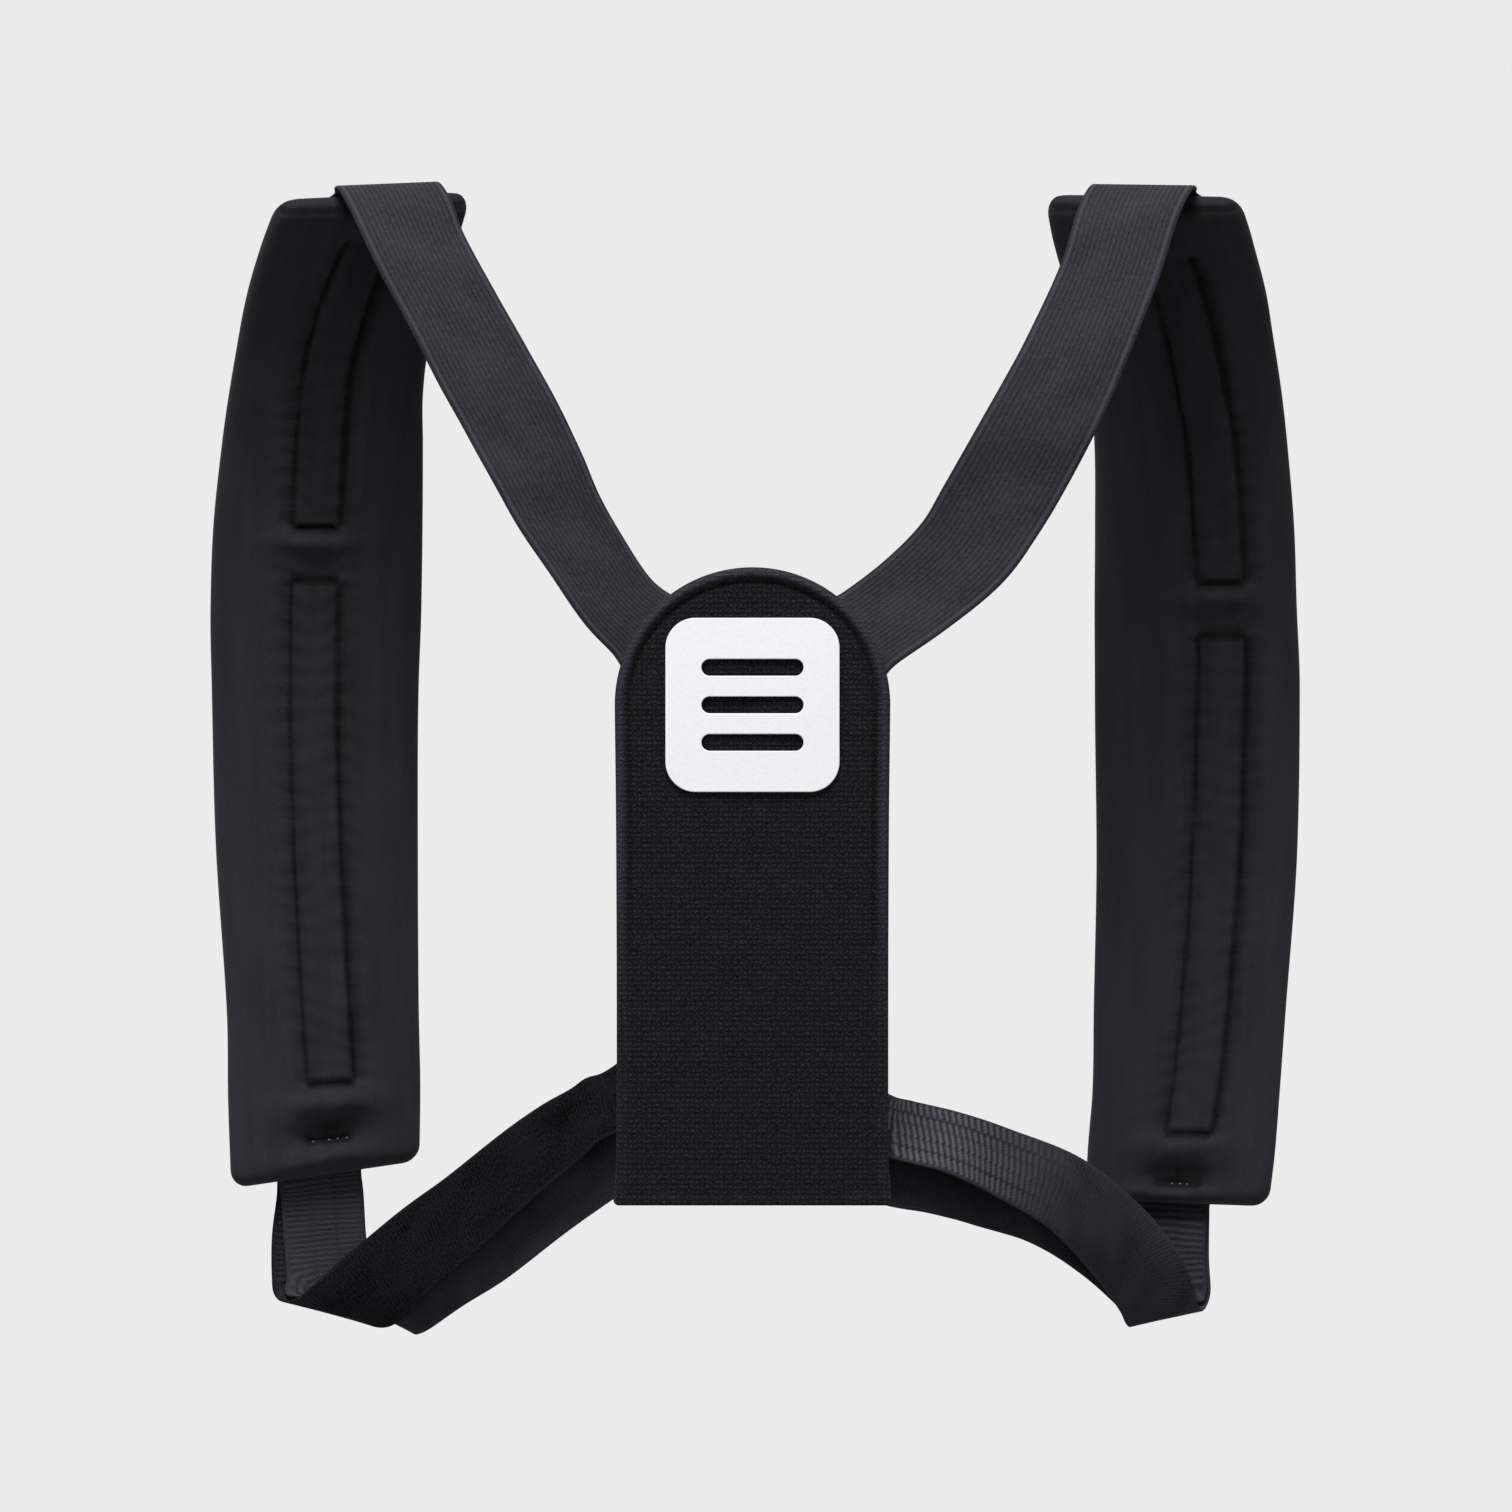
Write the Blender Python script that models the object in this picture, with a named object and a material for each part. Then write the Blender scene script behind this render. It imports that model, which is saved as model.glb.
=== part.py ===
"""Posture corrector: a back panel, two shoulder pads and the straps that join them.

Metres. +X is the wearer's right, +Y the front and +Z up. The origin lies midway between the tops of the
shoulders, where the harness hangs. Tables hold shares of the named sizes, angles in degrees and no lengths.
In them "out" is away from the middle, "in" towards it.
"""

import math

import bmesh
import bpy
from mathutils import Vector

# Gap that is left between pieces that touch
CLEARANCE = 0.0003

# Shoulder pads
HALF_SPAN = 0.158  # from the middle to a pad's centre line, where the pads stand widest
PAD_HEIGHT = 0.355
PAD_WIDTH = 0.075
PAD_THICKNESS = 0.009
PAD_REACH = 0.045  # how far a pad bulges forward of its upper end
PAD_TOP_FRONT = 0.003  # the upper end's place, in front of the origin
PAD_TOP_DROP = 0.002  # and below it
PAD_CORNER = 0.006
CHANNEL_WIDTH = 0.017  # between the two stitch lines of a sewn channel
CHANNEL_DEPTH = 0.0013
STITCH_DENT = 0.0022  # half the width of the dent along a stitch line
TACK_DEPTH = 0.0018

# Back panel
PANEL_WIDTH = 0.092
PANEL_HEIGHT = 0.213
PANEL_THICKNESS = 0.003
PANEL_SETBACK = 0.066  # its outer face, behind the origin
PANEL_DROP = 0.134  # its top, below the origin
PANEL_CORNER = 0.002
RIM_WIDTH = 0.004
RIM_RISE = 0.001
INNER_LEAF_WIDTH = 0.032
INNER_LEAF_THICKNESS = 0.002

# White patch on the panel
PATCH_SIZE = 0.058
PATCH_CORNER = 0.010
PATCH_THICKNESS = 0.0012
PATCH_DROP = 0.046  # its centre, below the top of the panel
SLOT_COUNT = 3
SLOT_LENGTH = 0.034
SLOT_WIDTH = 0.0056
SLOT_PITCH = 0.0125

# Straps
STRAP_WIDTH = 0.0365
STRAP_THICKNESS = 0.0013
WEBBING_WIDTH = 0.030
WEBBING_THICKNESS = 0.0013
CREST_RISE = 0.0034  # how high a strap passes over its pad's upper end
LOOP_DROP = 0.048  # how far the side straps hang below a pad's lower end
FOLD_GATHER = 0.13  # share of its width that the webbing gathers at its fold
FOLD_REACH = 0.14  # how far from the fold it does so, in places along its route
ROLL_ROOM = 1.2  # share of a strap's half width that its rolled mouth is given

SIDES = {"left": -1, "right": 1}

# A pad from its upper end to its lower one: share of its height; its centre line's place as shares of the
# half span and of the reach; width share; angle by which its inner edge is turned forward; rise of its
# inner edge for each metre of width; the sewn line's place out of the centre line, as a share of the width
PAD_ROWS = {
    "left": (
        # down, out, front, width, turn, cant, seam
        (0.000, 0.833, 0.00, 0.872, 17, 0.08, -0.060),
        (0.043, 0.872, 0.20, 0.893, 15, 0.05, -0.028),
        (0.090, 0.910, 0.42, 0.901, 13, 0.03, 0.000),
        (0.138, 0.941, 0.60, 0.894, 10, 0.02, 0.008),
        (0.187, 0.961, 0.73, 0.910, 8, 0.01, 0.013),
        (0.237, 0.972, 0.84, 0.949, 6, 0.00, 0.010),
        (0.318, 0.985, 0.94, 0.993, 4, 0.00, 0.007),
        (0.400, 0.991, 0.99, 1.004, 3, 0.00, 0.005),
        (0.480, 0.993, 1.00, 0.985, 3, 0.00, 0.005),
        (0.640, 0.987, 0.93, 0.955, 6, 0.00, 0.000),
        (0.805, 0.969, 0.78, 0.894, 12, 0.02, -0.010),
        (0.885, 0.963, 0.68, 0.886, 16, 0.06, -0.020),
        (0.967, 0.957, 0.56, 0.859, 19, 0.12, 0.006),
    ),
    "right": (
        (0.000, 0.858, 0.00, 0.878, 17, 0.05, 0.010),
        (0.043, 0.889, 0.20, 0.907, 15, 0.02, 0.055),
        (0.090, 0.925, 0.42, 0.908, 13, 0.00, 0.068),
        (0.138, 0.954, 0.60, 0.895, 10, 0.00, 0.075),
        (0.187, 0.976, 0.74, 0.898, 8, 0.00, 0.081),
        (0.237, 0.990, 0.84, 0.910, 6, 0.00, 0.098),
        (0.318, 1.001, 0.94, 0.945, 4, 0.00, 0.110),
        (0.400, 1.005, 0.99, 0.963, 3, 0.00, 0.118),
        (0.480, 1.009, 1.00, 0.976, 3, 0.00, 0.115),
        (0.640, 1.006, 0.93, 0.950, 6, 0.00, 0.095),
        (0.805, 0.985, 0.78, 0.894, 12, 0.00, 0.079),
        (0.885, 0.974, 0.68, 0.862, 16, 0.00, 0.056),
        (0.944, 0.961, 0.60, 0.856, 18, 0.00, 0.033),
        (0.995, 0.949, 0.52, 0.832, 20, 0.00, -0.008),
    ),
}

# Where the sewn channels and the bar tack lie along each pad, as shares of its height
PAD_SEAMS = {
    # upper channel's start and end, lower channel's start and end, bar tack
    "left": (0.035, 0.318, 0.373, 0.878, 0.934),
    "right": (0.050, 0.375, 0.429, 0.928, 0.977),
}

# A shoulder strap from the crest to the panel's mouth: shares of the way in, back and down; tilt of the
# line across it, and how far that line's inner end is rolled forward
SHOULDER_RUNS = {
    "left": (
        # in, back, down, tilt, roll
        (0.060, 0.220, 0.050, 8, 20),
        (0.147, 0.420, 0.162, 24, 32),
        (0.277, 0.600, 0.301, 27, 32),
        (0.405, 0.730, 0.439, 29, 29),
        (0.493, 0.810, 0.530, 29, 29),
        (0.613, 0.900, 0.664, 28, 33),
        (0.688, 0.940, 0.753, 29, 38),
        (0.782, 0.970, 0.841, 33, 42),
        (0.910, 0.995, 0.952, 41, 43),
    ),
    "right": (
        (0.062, 0.240, 0.060, 8, 22),
        (0.145, 0.470, 0.212, 21, 28),
        (0.283, 0.700, 0.410, 24, 20),
        (0.366, 0.800, 0.514, 27, 12),
        (0.489, 0.890, 0.654, 31, 4),
        (0.574, 0.935, 0.743, 34, 12),
        (0.668, 0.965, 0.831, 38, 22),
        (0.822, 0.990, 0.919, 46, 31),
    ),
}

# Where the straps enter the panel: for the shoulder straps the angle on its round top, tilt and roll
SHOULDER_MOUTHS = {"left": (36.5, 46, 40), "right": (33.5, 52, 34)}

# The side straps from the panel's mouth to the lowest point of the fold: shares of the way out, forward and
# down; tilt and roll as above, where the inner end of the line across is the strap's lower edge
SIDE_RUNS = {
    "left": (
        # out, front, down, tilt, roll
        (0.084, 0.070, 0.057, -55, -55),
        (0.183, 0.160, 0.150, -54, -47),
        (0.330, 0.310, 0.300, -53, -41),
        (0.530, 0.520, 0.525, -52, -33),
        (0.684, 0.690, 0.685, -51, -26),
        (0.837, 0.840, 0.865, -45, -12),
        (0.930, 0.920, 0.962, -30, 5),
    ),
    "right": (
        (0.060, 0.030, 0.024, -73, -54),
        (0.220, 0.130, 0.084, -67, -54),
        (0.380, 0.260, 0.177, -61, -49),
        (0.618, 0.450, 0.345, -49, -37),
        (0.815, 0.680, 0.595, -40, -22),
        (0.945, 0.860, 0.835, -30, -1),
    ),
}

# The side straps' mouths: depth below the panel's top as a share of its height, rise of the strap for each
# metre inwards, tilt and roll
SIDE_MOUTHS = {"left": (0.838, 0.65, -56, -53), "right": (0.882, 0.50, -74, -53)}

# Behind the panel the side straps unroll until they lie flat: share of the panel's half width from its
# middle, share of the roll that is left
HIDDEN_ROLLS = (
    (0.96, 1.0),
    (0.87, 1.00),
    (0.80, 0.82),
    (0.75, 0.42),
    (0.71, 0.08),
    (0.68, 0.0),
    (0.37, 0.0),
)

# The fold of the side straps: its place out as a share of the half span, forward as a share of the way from
# the pad's outer face to the panel, down as a share of the drop, tilt and roll
SIDE_FOLDS = {"left": (0.945, 0.115, 0.985, -17, 16), "right": (0.922, 0.115, 0.810, -14, 16)}

# The hanging stretch between pad and fold: share of the drop, shift out as a share of the webbing's width,
# shift back as a share of the way from the pad's outer face to the panel, tilt
SIDE_HANGS = {
    # down, shift, back, tilt
    "left": ((0.10, 0.02, 0.010, 0), (0.50, 0.08, 0.035, -4), (0.82, 0.06, 0.066, -12)),
    "right": ((0.08, -0.14, 0.010, 0), (0.40, -0.15, 0.035, -4), (0.66, -0.13, 0.064, -10)),
}

# The side strap's inner layer against its outer one. Place is 0 at the pad's lower end, 1 at the fold, 2 at
# the panel's mouth and 3 at the strap's end. The shift is towards the inner end as a share of the width, the
# gap counts layers, turn is added to the tilt and roll is the share of the outer layer's roll
SIDE_LAYERS = {
    "left": (
        # place, shift, gap, turn, roll
        (0.00, 0.00, 1.0, 0, 1.00),
        (0.50, 0.14, 1.2, 0, 1.00),
        (1.00, 0.23, 1.8, 2, 1.00),
        (1.18, 0.27, 2.2, 1, 0.70),
        (1.50, 0.39, 1.6, 0, 0.54),
        (2.00, 0.45, 1.2, 0, 0.46),
        (3.00, 0.45, 1.0, 0, 0.46),
    ),
    "right": (
        (0.00, 0.00, 1.0, 0, 1.00),
        (0.50, 0.03, 1.2, 0, 1.00),
        (1.00, 0.01, 1.9, 0, 1.00),
        (1.15, 0.03, 2.2, 0, 0.72),
        (1.38, 0.14, 1.6, 0, 0.58),
        (1.62, 0.22, 1.4, 0, 0.56),
        (2.00, 0.34, 1.2, 0, 0.54),
        (3.00, 0.34, 1.0, 0, 0.54),
    ),
}

COLOURS = {
    # red, green, blue, roughness
    "knit": (0.014, 0.013, 0.016, 0.95),
    "jersey": (0.018, 0.018, 0.022, 0.85),
    "elastic": (0.028, 0.028, 0.036, 0.80),
    "webbing": (0.022, 0.022, 0.027, 0.75),
    "patch": (0.860, 0.860, 0.880, 0.55),
}


def value_at(rows, place):
    """The columns of a table at a place in its first column, on a smooth curve that never overshoots."""
    place = min(max(place, rows[0][0]), rows[-1][0])
    index = max(i for i in range(len(rows) - 1) if rows[i][0] <= place)
    keys = [row[0] for row in rows]

    def rise(i, column):
        return (rows[i + 1][column] - rows[i][column]) / (keys[i + 1] - keys[i])

    def slope(i, column):
        if i in (0, len(rows) - 1):
            return rise(min(i, len(rows) - 2), column)
        before, after = rise(i - 1, column), rise(i, column)
        if before * after <= 0:
            return 0.0
        mean = (rows[i + 1][column] - rows[i - 1][column]) / (keys[i + 1] - keys[i - 1])
        steepest = 3 * min(abs(before), abs(after))
        return math.copysign(min(abs(mean), steepest), mean)

    span = keys[index + 1] - keys[index]
    t = (place - keys[index]) / span
    result = []
    for column in range(1, len(rows[0])):
        start, end = rows[index][column], rows[index + 1][column]
        leave, arrive = slope(index, column) * span, slope(index + 1, column) * span
        result.append(
            start * (2 * t**3 - 3 * t**2 + 1)
            + leave * (t**3 - 2 * t**2 + t)
            + end * (3 * t**2 - 2 * t**3)
            + arrive * (t**3 - t**2)
        )
    return result


def line_across(side, tilt, roll):
    """Unit vector across a strap, from its outer end to its inner one."""
    tilt, roll = math.radians(tilt), math.radians(roll)
    inward = -SIDES[side] * math.cos(tilt) * math.cos(roll)
    return Vector((inward, math.sin(roll), math.sin(tilt) * math.cos(roll)))


def finish(name, mesh, material, smooth_angle=40):
    """Closes a bmesh, turns its faces outwards and makes it an object."""
    bmesh.ops.recalc_face_normals(mesh, faces=mesh.faces)
    data = bpy.data.meshes.new(name)
    mesh.to_mesh(data)
    mesh.free()
    data.shade_smooth()
    data.set_sharp_from_angle(angle=math.radians(smooth_angle))
    data.materials.append(bpy.data.materials[material])
    made = bpy.data.objects.new(name, data)
    bpy.context.collection.objects.link(made)
    return made


def make_materials():
    for name, (red, green, blue, roughness) in COLOURS.items():
        material = bpy.data.materials.new(name)
        material.use_nodes = True
        shader = material.node_tree.nodes["Principled BSDF"]
        shader.inputs["Base Color"].default_value = (red, green, blue, 1)
        shader.inputs["Roughness"].default_value = roughness
        shader.inputs["Metallic"].default_value = 0


# Bands: straps and the inner leaf, swept along stations of (centre, line across, width)


def smooth_stations(stations, steps):
    """Points between the stations on a smooth curve, with as many steps to each gap."""
    places = [0.0]
    for (before, _, _), (after, _, _) in zip(stations, stations[1:]):
        places.append(places[-1] + (after - before).length)
    rows = [
        (place, *centre, *across, width)
        for place, (centre, across, width) in zip(places, stations)
    ]
    result = []
    for start, end in zip(places, places[1:]):
        for step in range(steps):
            result.append(value_at(rows, start + (end - start) * step / steps))
    result.append(value_at(rows, places[-1]))
    return [(Vector(v[0:3]), Vector(v[3:6]).normalized(), v[6]) for v in result]


def band(name, stations, thickness, material, steps=2, columns=2):
    """A flat band whose sections lie on the lines across it, so that it bends without stretching."""
    points = smooth_stations(stations, steps)
    mesh = bmesh.new()
    rings = []
    for i, (centre, across, width) in enumerate(points):
        before = points[max(i - 1, 0)][0]
        after = points[min(i + 1, len(points) - 1)][0]
        along = (after - before).normalized()
        normal = along.cross(across)
        reach = across * (width / 2 / normal.length)
        normal.normalize()
        face = [centre + reach * (2 * c / columns - 1) for c in range(columns + 1)]
        upper = [mesh.verts.new(p + normal * thickness / 2) for p in face]
        lower = [mesh.verts.new(p - normal * thickness / 2) for p in reversed(face)]
        rings.append(upper + lower)
    for ring, following in zip(rings, rings[1:]):
        for i in range(len(ring)):
            j = (i + 1) % len(ring)
            mesh.faces.new((ring[i], ring[j], following[j], following[i]))
    for ring in (rings[0], rings[-1]):
        for i in range(columns):
            mesh.faces.new((ring[i], ring[i + 1], ring[-i - 2], ring[-i - 1]))
    return finish(name, mesh, material)


# Shoulder pads


def pad_frame(side, down):
    """A pad's centre, the vector to its inner edge, its normal to the front, and where its seam lies."""
    rows = PAD_ROWS[side]

    def centre_at(place):
        out, front = value_at(rows, place)[0:2]
        x = SIDES[side] * out * HALF_SPAN
        y = PAD_TOP_FRONT + front * PAD_REACH
        return Vector((x, y, -PAD_TOP_DROP - place * PAD_HEIGHT))

    width, turn, cant, seam = value_at(rows, down)[2:6]
    inward = Vector((-SIDES[side], math.tan(math.radians(turn)), cant)) * width * PAD_WIDTH / 2
    little = 0.01
    low, high = max(down - little, rows[0][0]), min(down + little, rows[-1][0])
    normal = (centre_at(high) - centre_at(low)).cross(inward).normalized()
    if normal.y < 0:
        normal.negate()
    return centre_at(down), inward, normal, seam


def on_pad(side, down, lift, shift=0.0):
    """Station for a strap on a pad's outer face, along its seam line."""
    centre, inward, normal, seam = pad_frame(side, down)
    outward = -inward.normalized()
    point = centre + outward * (seam * PAD_WIDTH + shift) + normal * lift
    return point, inward.normalized()


def round_off(distance, radius):
    """How far a rounded edge draws in at a distance from where it starts."""
    if distance >= radius:
        return 0.0
    return radius - math.sqrt(radius**2 - (radius - distance) ** 2)


def pad_places(side):
    """Shares of the height at which a pad has its rows."""
    last = PAD_ROWS[side][-1][0]
    start, stop, again, end, tack = PAD_SEAMS[side]
    edge = PAD_THICKNESS / 2 / PAD_HEIGHT
    dent = STITCH_DENT / PAD_HEIGHT
    special = [0.0, 0.12 * edge, 0.45 * edge, edge, 1.9 * edge]
    special += [last - place for place in special]
    for place in (start, stop, again, end, tack):
        special += [place - dent, place, place + dent]
    places = sorted(special)
    even = 20
    for i in range(1, even):
        place = last * i / even
        if min(abs(place - other) for other in special) > 0.3 * last / even:
            places.append(place)
    return sorted(places)


def dent_depth(side, down, line, offset):
    """Depth of the sewn dents at a row; line is -1, 0 or 1 for the channel's outer line, middle and inner
    line, and offset tells that the place lies beside a line."""
    start, stop, again, end, tack = PAD_SEAMS[side]
    margin = 0.4 * STITCH_DENT / PAD_HEIGHT
    inside = start - margin <= down <= stop + margin or again - margin <= down <= end + margin
    if abs(down - tack) < margin:
        return TACK_DEPTH if not offset else 0.5 * TACK_DEPTH
    if offset or not inside:
        return 0.0
    at_end = min(abs(down - place) for place in (stop, again, end)) < margin
    return CHANNEL_DEPTH if line or at_end else 0.25 * CHANNEL_DEPTH


def shoulder_pad(side):
    mesh = bmesh.new()
    half_thickness = PAD_THICKNESS / 2
    last = PAD_ROWS[side][-1][0]
    inner_rows, outer_rows = [], []
    for down in pad_places(side):
        centre, inward, normal, seam = pad_frame(side, down)
        full = inward.length
        from_end = min(down, last - down) * PAD_HEIGHT
        width = 1 - round_off(from_end, PAD_CORNER) / full
        end_share = 1 - round_off(from_end, half_thickness) / half_thickness
        middle = -seam * PAD_WIDTH / full
        line = CHANNEL_WIDTH / 2 / full
        beside = STITCH_DENT / full
        rim = half_thickness / full
        columns = [(-1.0, None), (0.15 * rim - 1, None), (0.5 * rim - 1, None), (rim - 1, None)]
        columns += [(2.4 * rim - 1, None)]
        for place in (-1, 0, 1):
            for shift in (-1, 0, 1) if place else (0,):
                where = middle + place * line + shift * beside
                columns.append((where, dent_depth(side, down, place, shift != 0)))
        columns += [(1 - 2.4 * rim, None)]
        columns += [(1 - rim, None), (1 - 0.5 * rim, None), (1 - 0.15 * rim, None), (1.0, None)]
        inner, outer = [], []
        for share, dent in columns:
            edge = (1 - abs(share)) * full
            lift = half_thickness * (1 - round_off(edge, half_thickness) / half_thickness) * end_share
            point = centre + inward * share * width
            dent = (dent or 0.0) * end_share
            if lift < 1e-6:
                vertex = mesh.verts.new(point)
                inner.append(vertex)
                outer.append(vertex)
                continue
            inner.append(mesh.verts.new(point - normal * (lift - dent)))
            outer.append(mesh.verts.new(point + normal * lift))
        inner_rows.append(inner)
        outer_rows.append(outer)
    for rows in (inner_rows, outer_rows):
        for row, following in zip(rows, rows[1:]):
            for i in range(len(row) - 1):
                corners = (row[i], row[i + 1], following[i + 1], following[i])
                mesh.faces.new(corners)
    return finish(f"{side}_shoulder_pad", mesh, "jersey", 60)


# Back panel, inner leaf and patch


def panel_middle():
    """Height of the centre of the panel's round top."""
    return -PANEL_DROP - PANEL_WIDTH / 2


def panel_half_outline(inset):
    """The panel's right half from its foot to its top, drawn in by inset."""
    foot = -PANEL_DROP - PANEL_HEIGHT + inset
    radius = PANEL_WIDTH / 2 - inset
    corner = max(PANEL_CORNER - inset, 0.2 * PANEL_CORNER)
    flare_rows = ((0.0, 1.012), (0.10, 0.988), (0.3, 0.985), (0.75, 0.99), (1.0, 1.0))
    side_height = panel_middle() - foot
    points = []
    for step in range(3):
        angle = math.radians(-90 + 45 * step)
        x = flare_rows[0][1] * PANEL_WIDTH / 2 - inset - corner * (1 - math.cos(angle))
        points.append((x, foot + corner * (1 + math.sin(angle))))
    for share in (0.05, 0.10, 0.2, 0.35, 0.5, 0.65, 0.8, 0.9):
        x = value_at(flare_rows, share)[0] * PANEL_WIDTH / 2 - inset
        points.append((x, foot + share * side_height))
    steps = 13
    for step in range(steps):
        angle = math.radians(88 * step / (steps - 1))
        points.append((radius * math.cos(angle), panel_middle() + radius * math.sin(angle)))
    return points


def back_panel():
    """One leaf with a rolled rim round its upper part."""
    mesh = bmesh.new()
    half = PANEL_THICKNESS / 2
    middle = -PANEL_SETBACK + half
    fade_from = -PANEL_DROP - 0.75 * PANEL_HEIGHT
    fade_to = -PANEL_DROP - 0.40 * PANEL_HEIGHT
    # inset as a share of the rim's width, share of half the thickness, share of the rim's rise
    rings = (
        (0.60, -1.0, 0.0),
        (0.12, -0.8, 0.0),
        (0.00, 0.0, 0.0),
        (0.12, 0.8, 0.3),
        (0.50, 1.0, 1.0),
        (0.90, 1.0, 0.3),
        (1.20, 1.0, -0.4),
        (2.00, 1.0, 0.0),
    )
    loops = []
    for inset, thickness, rise in rings:
        right = panel_half_outline(inset * RIM_WIDTH)
        points = right + [(-x, z) for x, z in reversed(right)]
        loop = []
        for x, z in points:
            fade = min(max((z - fade_from) / (fade_to - fade_from), 0.0), 1.0)
            outward = thickness * half + rise * RIM_RISE * fade
            loop.append(mesh.verts.new((x, middle - outward, z)))
        loops.append(loop)
    for loop, following in zip(loops, loops[1:]):
        for i in range(len(loop)):
            j = (i + 1) % len(loop)
            mesh.faces.new((loop[i], loop[j], following[j], following[i]))
    for loop in (loops[0], loops[-1]):
        for i in range(len(loop) // 2 - 1):
            mesh.faces.new((loop[i], loop[i + 1], loop[-i - 2], loop[-i - 1]))
    return finish("back_panel", mesh, "knit", 50)


def layer_depth(layer, thickness):
    """Y of the middle of a layer held in the panel, counted from the panel's inner face."""
    inner_face = -PANEL_SETBACK + PANEL_THICKNESS
    below = layer * (WEBBING_THICKNESS + CLEARANCE)
    return inner_face + CLEARANCE + below + thickness / 2


def inner_leaf_depth():
    return layer_depth(2, INNER_LEAF_THICKNESS)


def inner_leaf():
    """A narrower leaf over the strap ends, its foot folded forward to the panel."""
    radius = INNER_LEAF_WIDTH / 2
    depth = inner_leaf_depth()
    bend = depth - (-PANEL_SETBACK + PANEL_THICKNESS + CLEARANCE)
    foot = -PANEL_DROP - PANEL_HEIGHT + INNER_LEAF_THICKNESS / 2
    stations = []
    for step in range(5):
        angle = math.radians(90 * step / 4)
        y = depth - bend * (1 - math.sin(angle))
        z = foot + bend * (1 - math.cos(angle))
        stations.append((Vector((0, y, z)), Vector((1, 0, 0)), INNER_LEAF_WIDTH))
    top = panel_middle()
    for share in (0.15, 0.4, 0.7, 1.0):
        z = foot + bend + share * (top - foot - bend)
        stations.append((Vector((0, depth, z)), Vector((1, 0, 0)), INNER_LEAF_WIDTH))
    for degrees in (15, 30, 45, 58, 70, 80):
        angle = math.radians(degrees)
        centre = Vector((0, depth, top + radius * math.sin(angle)))
        stations.append((centre, Vector((1, 0, 0)), INNER_LEAF_WIDTH * math.cos(angle)))
    return band("inner_leaf", stations, INNER_LEAF_THICKNESS, "knit", steps=1)


def rounded_outline(width, height, corner, steps):
    """Corners of a rounded rectangle about its centre."""
    points = []
    for quarter, (x, z) in enumerate(((1, 1), (-1, 1), (-1, -1), (1, -1))):
        for step in range(steps + 1):
            angle = math.radians(90 * (quarter + step / steps))
            centre_x, centre_z = x * (width / 2 - corner), z * (height / 2 - corner)
            points.append((centre_x + corner * math.cos(angle), centre_z + corner * math.sin(angle)))
    return points


def emblem_patch():
    """A plain rounded square with slots cut through."""
    mesh = bmesh.new()
    back = -PANEL_SETBACK - CLEARANCE
    height = -PANEL_DROP - PATCH_DROP
    outlines = [(0.0, rounded_outline(PATCH_SIZE, PATCH_SIZE, PATCH_CORNER, 8))]
    for i in range(SLOT_COUNT):
        rise = (i - (SLOT_COUNT - 1) / 2) * SLOT_PITCH
        outlines.append((rise, rounded_outline(SLOT_LENGTH, SLOT_WIDTH, SLOT_WIDTH * 0.499, 4)))
    edges = []
    for rise, outline in outlines:
        loop = [mesh.verts.new((x, back, height + rise + z)) for x, z in outline]
        for a, b in zip(loop, loop[1:] + loop[:1]):
            edges.append(mesh.edges.new((a, b)))
    bmesh.ops.triangle_fill(mesh, edges=edges, use_beauty=True)
    made = bmesh.ops.extrude_face_region(mesh, geom=list(mesh.faces))
    moved = [v for v in made["geom"] if isinstance(v, bmesh.types.BMVert)]
    bmesh.ops.translate(mesh, verts=moved, vec=(0, -PATCH_THICKNESS, 0))
    return finish("emblem_patch", mesh, "patch")


# Straps


def towards(start, end, shares):
    """A point at its own share of the way along each axis."""
    return Vector([a + (b - a) * share for a, b, share in zip(start, end, shares)])


def rolled_depth(thickness, width, roll):
    """How far back a strap's middle lies in the panel so that, rolled, its near edge keeps its layer."""
    lean = abs(math.sin(math.radians(roll)))
    return layer_depth(0, thickness) + ROLL_ROOM * width / 2 * lean


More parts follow.
